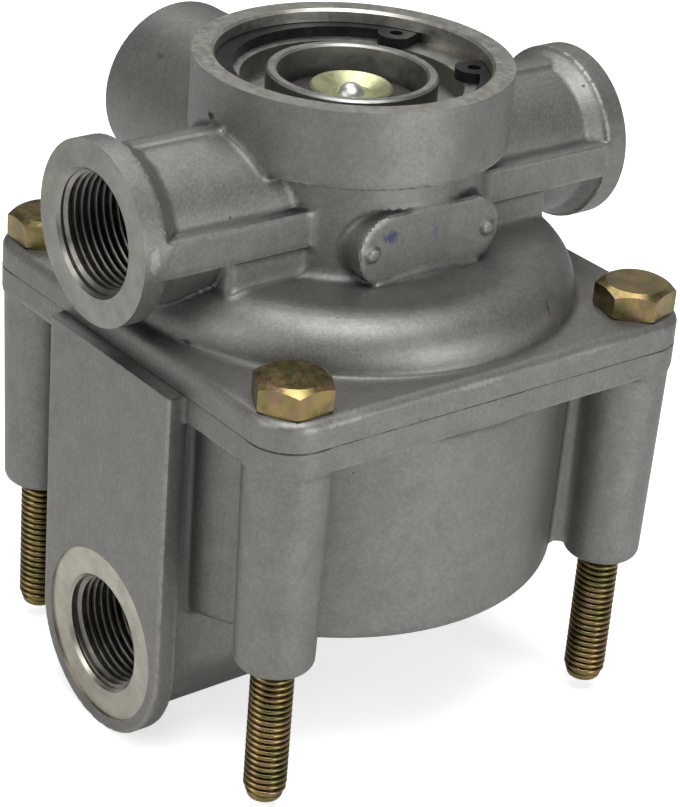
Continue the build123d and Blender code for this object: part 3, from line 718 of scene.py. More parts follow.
@dataclass
class Paint:
    """A material under construction, with the nodes that its finishes share."""

    name: str
    metallic: float
    centre: tuple[float, float, float] = (0.0, 0.0, 0.0)
    material: bpy.types.Material = field(init=False)
    tree: bpy.types.NodeTree = field(init=False)
    shader: bpy.types.Node = field(init=False)
    place: bpy.types.NodeSocket = field(init=False)

    def __post_init__(self) -> None:
        """Makes the material, its shader, and coordinates in millimetres about the centre."""
        self.material = bpy.data.materials.new(self.name)
        self.material.use_nodes = True
        self.tree = self.material.node_tree
        self.shader = self.tree.nodes["Principled BSDF"]
        self.shader.inputs["Metallic"].default_value = self.metallic
        coordinates = add_node(self.tree, "ShaderNodeTexCoord")
        mapping = add_node(self.tree, "ShaderNodeMapping", Vector=coordinates.outputs["Object"],
                           Scale=(1 / MM,) * 3, Location=tuple(-c for c in self.centre))
        self.place = mapping.outputs["Vector"]

    def noise(self, size: float, detail: float = 2.0, rough: float = 0.5) -> bpy.types.NodeSocket:
        """Adds soft noise.

        Args:
            size: Size of its blotches in millimetres.
            detail: Octaves.
            rough: Strength of the finer octaves.

        Returns:
            Its value from 0 to 1.
        """
        return add_node(self.tree, "ShaderNodeTexNoise", Vector=self.place, Scale=1 / size, Detail=detail,
                        Roughness=rough).outputs["Fac"]

    def cells(self, size: float) -> bpy.types.NodeSocket:
        """Adds scattered points.

        Args:
            size: Distance between them in millimetres.

        Returns:
            Distance to the nearest, as a share of that size.
        """
        texture = add_node(self.tree, "ShaderNodeTexVoronoi", Vector=self.place, Scale=1 / size)
        return texture.outputs["Distance"]

    def attribute(self, name: str) -> bpy.types.NodeSocket:
        """Reads a number stored on the mesh.

        Args:
            name: Name of the attribute.

        Returns:
            Its value.
        """
        return add_node(self.tree, "ShaderNodeAttribute", {"attribute_name": name}).outputs["Fac"]

    def span(self, value: bpy.types.NodeSocket, low: float, high: float, to_low: float = 0.0,
             to_high: float = 1.0) -> bpy.types.NodeSocket:
        """Maps a range of values to another and clamps it.

        Args:
            value: The value.
            low: Value that becomes to_low.
            high: Value that becomes to_high.
            to_low: New low value.
            to_high: New high value.

        Returns:
            The mapped value.
        """
        return add_node(self.tree, "ShaderNodeMapRange", Value=value, From_Min=low, From_Max=high,
                        To_Min=to_low, To_Max=to_high).outputs["Result"]

    def math(self, operation: str, first: object, second: object = 0.0) -> bpy.types.NodeSocket:
        """Combines two numbers.

        Args:
            operation: Name of the operation, such as "MULTIPLY".
            first: First number or socket.
            second: Second number or socket.

        Returns:
            The result.
        """
        return add_node(self.tree, "ShaderNodeMath", {"operation": operation}, input_0=first,
                        input_1=second).outputs["Value"]

    def mix(self, factor: bpy.types.NodeSocket, first: object, second: object) -> bpy.types.NodeSocket:
        """Mixes two colours.

        Args:
            factor: Share of the second.
            first: First colour or socket.
            second: Second colour or socket.

        Returns:
            The mixed colour.
        """
        return add_node(self.tree, "ShaderNodeMix", {"data_type": "RGBA"}, input_0=factor, input_6=first,
                        input_7=second).outputs[2]

    def bump(self, height: bpy.types.NodeSocket, depth: float, strength: float = 1.0,
             under: bpy.types.NodeSocket | None = None) -> bpy.types.NodeSocket:
        """Adds relief.

        Args:
            height: Height from 0 to 1.
            depth: Depth of the relief in millimetres.
            strength: Strength from 0 to 1.
            under: Normal of a coarser relief.

        Returns:
            The new normal.
        """
        links = {} if under is None else {"Normal": under}
        return add_node(self.tree, "ShaderNodeBump", Height=height, Distance=depth * MM, Strength=strength,
                        **links).outputs["Normal"]

    def finish(self, colour: object, roughness: object, normal: bpy.types.NodeSocket | None = None,
               **constants: float) -> bpy.types.Material:
        """Connects the finish to the shader.

        Args:
            colour: Base colour or its socket.
            roughness: Roughness or its socket.
            normal: Normal of the relief.
            constants: Further shader inputs, set on their own sockets.

        Returns:
            The material.
        """
        values = {"Base Color": colour, "Roughness": roughness, **constants}
        if normal is not None:
            values["Normal"] = normal
        for key, value in values.items():
            socket = self.shader.inputs[key]
            if isinstance(value, bpy.types.NodeSocket):
                self.tree.links.new(value, socket)
            else:
                socket.default_value = value
        return self.material


@dataclass(frozen=True)
class Spot:
    """Small stain, pit or scuff, or a painted highlight, at a place on the casting."""

    place: tuple[float, float, float]
    size: tuple[float, float, float]
    colour: str
    strength: float


@dataclass(frozen=True)
class CastAluminium:
    """Blasted cast aluminium: matte and sandy, lighter on edges by wear and a painted highlight, darker in
    concave corners by painted shade, with small pits, a few stains and a few painted highlights.
    """

    name: str = "cast_aluminium_blasted"
    light: str = "#807f7b"
    dark: str = "#757471"
    # Pale colour of sand grains and worn edges, also used for the painted edge highlight
    worn_and_highlight: str = "#b3b2ab"
    # Dark colour of sand grains, pits and the seam, also used for the painted corner shade
    pit_and_corner_shade: str = "#383836"
    mottle_size: float = 5.0
    grain_size: float = 0.38
    pit_size: float = 4.2
    seam_height: float = 46.0
    spots: tuple[Spot, ...] = ()

    def build(self) -> bpy.types.Material:
        """Makes the material.

        Returns:
            The material, which reads the attribute "edge" where a mesh has it.
        """
        paint = Paint(self.name, 0.9)
        mottle = paint.span(paint.noise(self.mottle_size, 6.0, 0.72), 0.34, 0.66)
        colour = paint.mix(mottle, linear(self.dark), linear(self.light))
        sand = paint.noise(self.grain_size * 2.0, 3.0, 0.7)
        colour = paint.mix(paint.span(sand, 0.48, 0.80, 0.0, 0.18), colour, linear(self.worn_and_highlight))
        colour = paint.mix(paint.span(sand, 0.52, 0.22, 0.0, 0.16), colour, linear(self.pit_and_corner_shade))
        edge = paint.attribute("edge")
        broken = paint.span(paint.noise(1.4, 3.0, 0.7), 0.30, 0.62)
        # Outer edges are lightened towards the pale colour: partly wear, partly a painted highlight
        wear_and_highlight = paint.math("MULTIPLY", paint.span(edge, 0.4, 1.6), broken)
        colour = paint.mix(paint.math("MULTIPLY", wear_and_highlight, 0.34), colour, linear(self.worn_and_highlight))
        # Concave corners are darkened towards the dark colour: painted shade
        corner_shade = paint.math("MULTIPLY", paint.span(edge, -0.25, -1.1), 0.45)
        colour = paint.mix(corner_shade, colour, linear(self.pit_and_corner_shade))
        pits = paint.math("MULTIPLY", paint.span(paint.cells(self.pit_size), 0.03, 0.08, 1.0, 0.0),
                          paint.span(paint.noise(9.0, 1.0), 0.54, 0.62))
        colour = paint.mix(paint.math("MULTIPLY", pits, 0.7), colour, linear(self.pit_and_corner_shade))
        colour = paint.mix(self.seam(paint), colour, linear(self.pit_and_corner_shade))
        for spot in self.spots:
            colour = paint.mix(self.patch(paint, spot), colour, linear(spot.colour))
        grain = paint.noise(self.grain_size, 3.0, 0.65)
        normal = paint.bump(paint.noise(3.0, 2.0), 0.08, 0.3)
        normal = paint.bump(grain, 0.07, 0.6, normal)
        normal = paint.bump(paint.math("SUBTRACT", 1.0, pits), 0.12, 0.7, normal)
        roughness = paint.span(grain, 0.3, 0.7, 0.44, 0.56)
        return paint.finish(colour, roughness, normal)

    def seam(self, paint: Paint) -> bpy.types.NodeSocket:
        """Finds the dark line where the two castings meet.

        Args:
            paint: The material.

        Returns:
            Strength of the line.
        """
        height = add_node(paint.tree, "ShaderNodeSeparateXYZ", Vector=paint.place).outputs["Z"]
        gap = paint.math("ABSOLUTE", paint.math("SUBTRACT", height, self.seam_height))
        broken = paint.span(paint.noise(2.2, 2.0), 0.30, 0.55, 0.35, 0.95)
        facing = add_node(paint.tree, "ShaderNodeNewGeometry").outputs["True Normal"]
        lift = add_node(paint.tree, "ShaderNodeSeparateXYZ", Vector=facing).outputs["Z"]
        upright = paint.span(paint.math("ABSOLUTE", lift), 0.4, 0.7, 1.0, 0.0)
        line = paint.math("MULTIPLY", paint.span(gap, 0.10, 0.24, 1.0, 0.0), broken)
        return paint.math("MULTIPLY", line, upright)

    def patch(self, paint: Paint, spot: Spot) -> bpy.types.NodeSocket:
        """Finds the soft, ragged area of a spot.

        Args:
            paint: The material.
            spot: The spot.

        Returns:
            Strength of the spot.
        """
        away = add_node(paint.tree, "ShaderNodeMapping", {"vector_type": "TEXTURE"}, Vector=paint.place,
                        Location=spot.place, Scale=spot.size)
        length = add_node(paint.tree, "ShaderNodeVectorMath", {"operation": "LENGTH"},
                          input_0=away.outputs["Vector"]).outputs["Value"]
        ragged = paint.math("ADD", length, paint.span(paint.noise(0.8, 3.0, 0.7), 0.3, 0.7, -0.5, 0.5))
        return paint.math("MULTIPLY", paint.span(ragged, 0.6, 1.1, 1.0, 0.0), spot.strength)


@dataclass(frozen=True)
class TurnedMetal:
    """Metal with the fine rings of a turning tool about one axis."""

    name: str
    light: str
    dark: str
    roughness: float
    centre: tuple[float, float, float] = (0.0, 0.0, 0.0)
    across: tuple[float, float, float] = (1.0, 1.0, 0.0)
    # Real feed marks lie closer together and would not show, so they are drawn this far apart
    groove_pitch: float = 0.32
    groove_depth: float = 0.010

    def build(self) -> bpy.types.Material:
        """Makes the material.

        Returns:
            The material, whose rings lie round its centre in the plane "across".
        """
        paint = Paint(self.name, 1.0, self.centre)
        flat = add_node(paint.tree, "ShaderNodeVectorMath", {"operation": "MULTIPLY"},
                        input_0=paint.place, input_1=self.across)
        radius = add_node(paint.tree, "ShaderNodeVectorMath", {"operation": "LENGTH"},
                          input_0=flat.outputs["Vector"]).outputs["Value"]
        wave = paint.math("SINE", paint.math("MULTIPLY", radius, 2 * math.pi / self.groove_pitch))
        wave = paint.span(wave, -1.0, 1.0)
        stain = paint.span(paint.noise(6.0, 4.0, 0.65), 0.35, 0.7)
        colour = paint.mix(stain, linear(self.light), linear(self.dark))
        normal = paint.bump(paint.noise(0.5, 2.0), 0.01, 0.4)
        normal = paint.bump(wave, self.groove_depth, 0.5, normal)
        roughness = paint.span(paint.noise(1.4, 3.0), 0.3, 0.7, self.roughness - 0.05, self.roughness + 0.07)
        return paint.finish(colour, roughness, normal)


@dataclass(frozen=True)
class YellowZinc:
    """Yellow passivated zinc, with an olive and rosy sheen."""

    name: str = "yellow_zinc_plating"
    gold: str = "#928054"
    olive: str = "#706b45"
    rose: str = "#8f7062"

    def build(self) -> bpy.types.Material:
        """Makes the material.

        Returns:
            The material.
        """
        paint = Paint(self.name, 1.0)
        blotch = paint.span(paint.noise(4.0, 2.0), 0.38, 0.62)
        colour = paint.mix(blotch, linear(self.gold), linear(self.olive))
        colour = paint.mix(paint.span(paint.noise(2.7, 3.0), 0.50, 0.68, 0.0, 0.8), colour, linear(self.rose))
        normal = paint.bump(paint.noise(0.6, 3.0), 0.010, 0.5)
        roughness = paint.span(paint.noise(1.1, 2.0), 0.3, 0.7, 0.24, 0.40)
        return paint.finish(colour, roughness, normal)


@dataclass(frozen=True)
class PlainFinish:
    """Even finish with fine grain and soft variation, for rubber, plastic and plated steel."""

    name: str
    light: str
    dark: str
    metallic: float
    roughness: float
    grain_size: float = 0.4
    grain_depth: float = 0.02
    ior: float = 1.5

    def build(self) -> bpy.types.Material:
        """Makes the material.

        Returns:
            The material.
        """
        paint = Paint(self.name, self.metallic)
        colour = paint.mix(paint.span(paint.noise(3.5, 3.0, 0.6), 0.35, 0.65), linear(self.dark),
                           linear(self.light))
        normal = paint.bump(paint.noise(self.grain_size, 3.0, 0.6), self.grain_depth, 0.5)
        roughness = paint.span(paint.noise(1.3, 2.0), 0.3, 0.7, self.roughness - 0.05, self.roughness + 0.06)
        return paint.finish(colour, roughness, normal, IOR=self.ior)


CASTING_SPOTS = (
    Spot((-9.1, -25.6, 70.3), (1.7, 2.0, 1.2), "#34406a", 0.7),
    Spot((0.7, -25.7, 69.4), (0.9, 2.0, 1.4), "#5b6480", 0.4),
    Spot((-29.0, 2.3, 86.6), (0.9, 1.1, 0.8), "#1d1c1b", 0.9),
    Spot((16.7, -39.7, 56.9), (0.35, 1.5, 1.7), "#2b2a29", 0.75),
    Spot((-42.4, -12.7, 52.3), (1.3, 1.3, 0.5), "#2b2a29", 0.8),
    Spot((-12.2, 43.0, 81.7), (0.7, 1.4, 0.6), "#4a4947", 0.45),
    Spot((-52.7, -16.6, 71.3), (1.1, 2.0, 2.4), "#aeada6", 0.5),
    # Pale streaks on the rounded front edge of the flange: painted highlight
    Spot((-4.6, -47.3, 50.2), (5.0, 1.6, 0.7), "#a9a79f", 0.35),
    Spot((21.1, -47.1, 50.5), (8.0, 1.6, 0.6), "#a9a79f", 0.3),
    Spot((-33.0, -46.5, 50.6), (5.0, 3.0, 0.8), "#a9a79f", 0.4),
)


@dataclass
class Finishes:
    """All the materials of the valve, made once."""

    cast: bpy.types.Material = field(init=False)
    bored: bpy.types.Material = field(init=False)
    drilled: bpy.types.Material = field(init=False)
    ports: dict[Side, bpy.types.Material] = field(init=False)
    control: bpy.types.Material = field(init=False)
    threads: bpy.types.Material = field(init=False)
    turned: bpy.types.Material = field(init=False)
    zinc: bpy.types.Material = field(init=False)
    washer: bpy.types.Material = field(init=False)
    steel: bpy.types.Material = field(init=False)
    black: bpy.types.Material = field(init=False)
    flap: bpy.types.Material = field(init=False)
    seal: bpy.types.Material = field(init=False)
    band: bpy.types.Material = field(init=False)

    def __post_init__(self) -> None:
        """Makes each material."""
        self.cast = CastAluminium(spots=CASTING_SPOTS).build()
        light, dark = "#93918a", "#7a7872"
        self.bored = TurnedMetal("bored_aluminium", "#b4b2aa", "#97958d", 0.38).build()
        self.drilled = TurnedMetal("drilled_aluminium", light, dark, 0.40).build()
        along_x = TurnedMetal("faced_aluminium_sides", light, dark, 0.36, (0.0, 0.0, SIZES.port_height),
                              (0.0, 1.0, 1.0)).build()
        along_y = TurnedMetal("faced_aluminium_rear", light, dark, 0.36, (0.0, 0.0, SIZES.port_height),
                              (1.0, 0.0, 1.0)).build()
        self.ports = {Side.RIGHT: along_x, Side.LEFT: along_x, Side.REAR: along_y}
        self.control = TurnedMetal("faced_aluminium_control", "#b3aea2", "#989387", 0.34,
                                   (0.0, 0.0, SIZES.control_height), (0.0, 1.0, 1.0)).build()
        # Tapped threads are bare metal: brighter and smoother than the blasted skin around them
        self.threads = PlainFinish("tapped_aluminium", "#8f8c85", "#716f69", 1.0, 0.36, 0.5, 0.008).build()
        self.turned = TurnedMetal("turned_aluminium", "#9f9e99", "#82817c", 0.44).build()
        self.zinc = YellowZinc().build()
        self.washer = PlainFinish("zinc_plated_washer", "#b9bb93", "#a3a67e", 0.9, 0.36, 0.8, 0.012).build()
        self.steel = PlainFinish("bright_rivet_steel", "#cfcfcc", "#b9b9b6", 1.0, 0.38, 0.8, 0.008).build()
        # Phosphated spring steel: near black, with a dull sheen on its edges
        self.black = PlainFinish("black_phosphate_steel", "#2a2a2b", "#1c1c1d", 0.6, 0.36).build()
        # Rubber swallows light: no reflection of the lamps, only a soft grain
        self.flap = PlainFinish("flap_rubber_brown", "#2c2725", "#1f1b1a", 0.0, 0.6, 0.3, 0.02).build()
        self.seal = PlainFinish("seal_rubber_black", "#262626", "#191919", 0.0, 0.55, 0.3, 0.02).build()
        self.band = PlainFinish("guide_band_plastic", "#d9d5c8", "#c9c4b5", 0.0, 0.45, 0.5, 0.01).build()


# Castings


def port_frame(side: Side, sizes: ValveSizes) -> Matrix:
    """Place whose Z axis runs outward along a port.

    Args:
        side: The port's direction.
        sizes: Sizes of the valve.

    Returns:
        The place, in millimetres.
    """
    turn = Matrix.Rotation(math.radians(side.value), 4, "Z") @ Matrix.Rotation(math.radians(90), 4, "Y")
    return Matrix.Translation((0, 0, sizes.port_height)) @ turn


@dataclass
class Casting:
    """A casting: its blank with cast fillets, and the tools that machine it."""

    name: str
    node: str
    finishes: Finishes
    sizes: ValveSizes = SIZES
    cell: float = 0.6

    def blank(self) -> Form:
        """Form of the raw casting.

        Returns:
            The form.
        """
        raise NotImplementedError

    def span(self) -> tuple[tuple[float, float, float], tuple[float, float, float]]:
        """Space that the blank lies in.

        Returns:
            Its lowest and highest corners in millimetres.
        """
        raise NotImplementedError

    def tools(self) -> list[tuple[Shell, bpy.types.Material]]:
        """Solids that are cut out of the blank.

        Returns:
            Each solid with the finish that it leaves.
        """
        raise NotImplementedError

    def build(self) -> bpy.types.Object:
        """Makes the casting and sets it in the place of its node.

        Returns:
            The finished object.
        """
        form = self.blank()
        low, high = self.span()
        body = skin(form, low, high, self.cell).to_object(self.name, self.finishes.cast)
        cut(body, [shell.to_object("tool", material) for shell, material in self.tools()])
        weld(body.data, 0.004)
        points = mesh_points(body.data)
        store(body.data, "edge", edge_strength(form, points, 1.2))
        sharpen(body, 32)
        weigh_normals(body)
        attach(body, Body.HOUSING.value)
        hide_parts(self.node)
        log.info("%s: %d faces", self.name, len(body.data.polygons))
        return body

    def bolt_holes(self, low: float, high: float) -> list[tuple[Shell, bpy.types.Material]]:
        """Cutters for the four bolt holes.

        Args:
            low: Where they start.
            high: Where they end.

        Returns:
            The cutters with their finish.
        """
        half = self.sizes.bolt_half_spacing
        hole = lathe([(0, low), (4.5, low), (4.5, high), (0, high)], 48)
        return [(hole.placed(Matrix.Translation((sx * half, sy * half, 0))), self.finishes.drilled)
                for sx in (-1, 1) for sy in (-1, 1)]


@dataclass
class PortCasting(Casting):
    """Upper casting: flange, dome, waist, collar, two necks with ribs, the plain supply drum and the blind
    pad.
    """

    def neck(self) -> Form:
        """Neck of one port along +X, with its block, ribs and boss.

        Returns:
            The form.
        """
        s = self.sizes
        neck = lying_drum(s.neck_radius, 0, s.boss_rear, s.port_height)
        block = plate(s.block_reach, s.block_half_width, s.block_edge, s.flange_top - 3, s.port_height)
        half = s.side_rib_half_height
        side = plate(s.boss_rear + 0.5, s.boss_radius - 0.12, 0.3, s.port_height - half, s.port_height + half,
                     0.45)
        top = tapered_rib(2.8, 1.8, s.port_height, s.port_height + 15.1, s.boss_rear + 0.5, 0.35)
        flare = lying_drum(s.boss_radius - s.flare_step, s.boss_rear - s.flare_length, s.boss_rear,
                           s.port_height, 0.0, s.neck_radius)
        boss = lying_drum(s.boss_radius, s.boss_rear, s.port_face + 0.8, s.port_height, 0.5)
        form = neck.joined(block, 0.8).joined(side, 0.6).joined(top, 0.6)
        form = form.joined(flare, 0.15).joined(boss, 0.2)
        return Form(lambda x, y, z: np.maximum(form.distance(x, y, z), -x))

    def supply_drum(self) -> Form:
        """Plain drum of the supply port along +X, on its block.

        Returns:
            The form.
        """
        s = self.sizes
        barrel = lying_drum(s.boss_radius, 0, s.port_face + 0.8, s.port_height, 0.5)
        block = plate(s.block_reach, s.block_half_width, s.block_edge, s.flange_top - 3, s.port_height)
        form = barrel.joined(block, 0.8)
        return Form(lambda x, y, z: np.maximum(form.distance(x, y, z), -x))

    def pad(self) -> Form:
        """Blind pad with its two pips.

        Returns:
            The form.
        """
        level = self.sizes.port_height - 2.7
        form = flat_slot(31.4, 13.4, -25.6, -17.0, level, 0.5)
        for x in (-13.0, 13.0):
            pip = drum(1.35, 25.0, 26.25, 0.45)
            form = form.joined(Form(lambda a, b, c, x=x, pip=pip: pip.distance(a - x, c - level, -b)), 0.25)
        return form

    def blank(self) -> Form:
        """Form of the casting before it is machined.

        Returns:
            The form.
        """
        s = self.sizes
        half = s.flange_half
        flange = plate(half, half, s.corner_radius, s.parting - 4.0, s.flange_top, 1.7)
        shoulder = drum(s.dome_radius, s.parting - 2, s.dome_top, s.dome_shoulder)
        waist = drum(s.waist_radius, s.parting, s.collar_top - 2)
        collar = drum(s.collar_radius, s.collar_foot, s.collar_top + 1.5, 0.7)
        form = shoulder.joined(waist, 2.4).joined(collar, 1.0)
        for side in Side:
            port = self.supply_drum() if side is Side.REAR else self.neck()
            form = form.joined(port.turned(side.value), 1.1)
        return form.joined(flange, 1.2).joined(self.pad(), 0.7)

    def span(self) -> tuple[tuple[float, float, float], tuple[float, float, float]]:
        """Box that the casting is looked for in.

        Returns:
            Its lowest and highest corners.
        """
        return (-57.0, -49.0, 40.0), (57.0, 57.0, 97.0)

    def tools(self) -> list[tuple[Shell, bpy.types.Material]]:
        """Cutters that machine and hollow the casting.

        Returns:
            Each cutter with the finish that it leaves.
        """
        s = self.sizes
        hollow = s.dome_radius - s.dome_wall
        inner_top = s.dome_top - s.dome_wall
        turn = s.hollow_shoulder
        bore = lathe([
            (0, 30), (80, 30), (80, s.parting), (hollow, s.parting),
            *arc((hollow - turn, inner_top - turn), turn, 0, 90, 8), (12, inner_top),
            (12, 63.4), (12.3, 64), (13.3, 64), (13.6, 63.4), (13.6, 61.6), (20, 61.6),
            (20, 83), (25, 83), (25, 89.4), (26.5, 89.4), (26.5, 91.5), (25, 91.5), (25, s.collar_top - 0.5),
            (25.5, s.collar_top), (45, s.collar_top), (45, 110), (0, 110),
        ], 200)
        result = [(bore, self.finishes.bored)]
        face, radius = s.port_face, s.thread_radius
        for side in Side:
            stop = 14.0 if side is Side.REAR else s.waist_radius
            drill = lathe([
                (0, stop), (8.5, stop), (8.5, face - s.thread_depth), (radius, face - s.thread_depth),
                (radius, face - 0.6), (radius + 0.6, face), (s.boss_radius + 3, face),
                (s.boss_radius + 3, face + 6), (0, face + 6),
            ], 128)
            result.append((drill.placed(port_frame(side, s)), self.finishes.ports[side]))
        for side in (Side.RIGHT, Side.LEFT):
            slot = skin(plate(4.8, 7.5, 2.4, 50, s.port_height), (-6, -9, 48), (6, 9, 72), 0.9)
            place = Matrix.Rotation(math.radians(side.value), 4, "Z") @ Matrix.Translation((30.1, 0, 0))
            result.append((slot.placed(place), self.finishes.cast))
        return result + self.bolt_holes(s.parting - 8, s.flange_top + 4)


@dataclass
class CoverCasting(Casting):
    """Lower casting: lip, drafted cylinder, bolt bosses with webs, and the control port."""

    def blank(self) -> Form:
        """Form of the casting before it is machined.

        Returns:
            The form.
        """
        s = self.sizes
        half = s.flange_half - 0.2
        lip = plate(half, half, s.corner_radius - 0.2, s.lip_foot, s.parting + 5, 0.8)
        cylinder = drum(s.cover_radius_top, s.cover_foot, s.parting + 3, 1.5, s.cover_radius_foot)
        boss = drum(8.1, 0.0, s.parting + 3, 1.7, 7.3)
        web = plate(s.bolt_half_spacing * math.sqrt(2), 4.0, 0.0, 2.5, s.parting, 0.0)
        front = slot_wall(s.control_half_width, s.control_height, s.parting + 4, -s.control_face, -46.3, 0.4)
        duct = slot_wall(s.duct_half_width, s.control_height, s.parting + 4, -48.0, -s.duct_end, 5.0)
        form = cylinder.joined(lip, 2.1)
        for turn in (45, 135, 225, 315):
            wing = Form(lambda x, y, z: np.maximum(web.distance(x, y, z), -x)).turned(turn)
            form = form.joined(wing, 1.2)
        for sx in (-1, 1):
            for sy in (-1, 1):
                form = form.joined(boss.moved(sx * s.bolt_half_spacing, sy * s.bolt_half_spacing), 1.0)
        return form.joined(duct.joined(front, 0.9), 0.9)

    def span(self) -> tuple[tuple[float, float, float], tuple[float, float, float]]:
        """Box that the casting is looked for in.

        Returns:
            Its lowest and highest corners.
        """
        return (-52.0, -49.0, -33.0), (49.0, 49.0, 53.0)

    def tools(self) -> list[tuple[Shell, bpy.types.Material]]:
        """Cutters that machine and hollow the casting.

        Returns:
            Each cutter with the finish that it leaves.
        """
        s = self.sizes
        chamber = lathe([
            (0, 4), (38, 4), (38, 5.5), (41, 5.5), (41, s.parting), (42.5, s.parting), (42.5, s.parting - 2),
            (45.1, s.parting - 2), (45.1, s.parting + 20), (0, s.parting + 20),
        ], 200)
        above = lathe([(0, s.parting), (90, s.parting), (90, s.parting + 20), (0, s.parting + 20)], 48)
        spot = s.control_face - s.spot_depth
        drill = lathe([
            (0, 20), (5, 20), (5, spot - s.thread_depth), (s.thread_radius, spot - s.thread_depth),
            (s.thread_radius, spot - 0.6), (s.thread_radius + 0.6, spot), (16.8, spot), (16.8, spot + 6),
            (0, spot + 6),
        ], 128)
        turn = Matrix.Translation((0, 0, s.control_height)) @ Matrix.Rotation(math.radians(-90), 4, "Y")
        riser = lathe([(0, s.control_height), (5, s.control_height), (5, 6), (0, 6)], 48)
        return [
            (above, self.finishes.cast),
            (chamber, self.finishes.bored),
            (drill.placed(turn), self.finishes.control),
            (riser.placed(Matrix.Translation((-20, 0, 0))), self.finishes.drilled),
        ] + self.bolt_holes(-6, s.parting + 4)


# Threads

# Half widths of a thread's tooth, as shares of its pitch
TOOTH_ROOT = 0.45
TOOTH_CREST = 0.14


def times(tree: bpy.types.NodeTree, value: bpy.types.NodeSocket,
          factor: float | bpy.types.NodeSocket) -> bpy.types.NodeSocket:
    """Multiplies a value in a node tree.

    Args:
        tree: The tree.
        value: The value.
        factor: What it is multiplied by.

    Returns:
        The product.
    """
    node = add_node(tree, "ShaderNodeMath", {"operation": "MULTIPLY"}, input_0=value, input_1=factor)
    return node.outputs[0]


@dataclass
class ThreadTree:
    """Geometry nodes that sweep a tooth along a rising spiral."""

    name: str = "thread_ridge"
    tree: bpy.types.NodeTree = field(init=False)

    def __post_init__(self) -> None:
        """Makes the tree with its named inputs."""
        tree = bpy.data.node_groups.new(self.name, "GeometryNodeTree")
        self.tree = tree
        for label, kind in (("Geometry", "NodeSocketGeometry"), ("Radius", "NodeSocketFloat"),
                            ("Pitch", "NodeSocketFloat"), ("Turns", "NodeSocketFloat"),
                            ("Depth", "NodeSocketFloat"), ("Material", "NodeSocketMaterial")):
            tree.interface.new_socket(label, in_out="INPUT", socket_type=kind)
        tree.interface.new_socket("Geometry", in_out="OUTPUT", socket_type="NodeSocketGeometry")
        given = add_node(tree, "NodeGroupInput").outputs
        height = times(tree, given["Pitch"], given["Turns"])
        spiral = add_node(tree, "GeometryNodeCurveSpiral", Resolution=56, Rotations=given["Turns"],
                          Start_Radius=given["Radius"], End_Radius=given["Radius"], Height=height)
        upright = add_node(tree, "GeometryNodeSetCurveNormal", {"mode": "Z_UP"},
                           Curve=spiral.outputs["Curve"])
        root = times(tree, given["Pitch"], TOOTH_ROOT)
        crest = times(tree, given["Pitch"], TOOTH_CREST)
        tooth = add_node(tree, "GeometryNodeCurvePrimitiveQuadrilateral", {"mode": "POINTS"})
        out = times(tree, given["Depth"], -1.0)
        for label, across, side in (("Point 1", None, root), ("Point 2", out, crest),
                                    ("Point 3", out, crest), ("Point 4", None, root)):
            sign = 1.0 if label in ("Point 1", "Point 2") else -1.0
            spot = add_node(tree, "ShaderNodeCombineXYZ", Y=times(tree, side, sign))
            if across is not None:
                tree.links.new(across, spot.inputs["X"])
            tree.links.new(spot.outputs["Vector"], tooth.inputs[label])
        where = add_node(tree, "GeometryNodeSplineParameter").outputs["Factor"]
        start = add_node(tree, "ShaderNodeMapRange", Value=where, From_Max=0.05,
                         To_Min=0.05).outputs["Result"]
        end = add_node(tree, "ShaderNodeMapRange", Value=where, From_Min=0.97, From_Max=1.0, To_Min=1.0,
                       To_Max=0.05).outputs["Result"]
        size = add_node(tree, "ShaderNodeMath", {"operation": "MINIMUM"}, input_0=start, input_1=end)
        swept = add_node(tree, "GeometryNodeCurveToMesh", Curve=upright.outputs["Curve"],
                         Profile_Curve=tooth.outputs["Curve"], Scale=size.outputs[0], Fill_Caps=True)
        whole = add_node(tree, "GeometryNodeRealizeInstances", Geometry=swept.outputs["Mesh"])
        dressed = add_node(tree, "GeometryNodeSetMaterial", Geometry=whole.outputs["Geometry"],
                           Material=given["Material"])
        add_node(tree, "NodeGroupOutput", Geometry=dressed.outputs["Geometry"])

    def grow(self, name: str, material: bpy.types.Material, **sizes: float) -> bpy.types.Object:
        """Makes one thread.

        Args:
            name: Name of the object.
            material: Its finish.
            sizes: Values of the inputs Radius, Pitch, Turns and Depth, in millimetres.

        Returns:
            The baked thread, rising from the origin along +Z.
        """
        holder = Shell(np.zeros((0, 3)), []).to_object(name)
        modifier = holder.modifiers.new("thread", "NODES")
        modifier.node_group = self.tree
        for item in self.tree.interface.items_tree:
            if item.in_out == "INPUT" and item.name in sizes:
                scale = 1.0 if item.name == "Turns" else MM
                modifier[item.identifier] = float(sizes[item.name]) * scale
            elif item.in_out == "INPUT" and item.name == "Material":
                modifier[item.identifier] = material
        bake(holder)
        face_outward(holder.data)
        return holder


@dataclass
class PortThread:
    """Internal thread of one port."""

    name: str
    place: Matrix
    finishes: Finishes
    threads: ThreadTree
    sizes: ValveSizes = SIZES

    def build(self) -> bpy.types.Object:
        """Makes the thread inside its bore.

        Returns:
            The finished object.
        """
        s = self.sizes
        turns = (s.thread_depth - 2.0) / s.thread_pitch
        ridge = self.threads.grow(self.name, self.finishes.threads, Radius=s.thread_radius + 0.02,
                                  Pitch=s.thread_pitch, Turns=turns, Depth=-0.8)
        move = self.place.copy()
        move.translation *= MM
        ridge.data.transform(move)
        sharpen(ridge, 40)
        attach(ridge, Body.HOUSING.value)
        return ridge


# Bolts


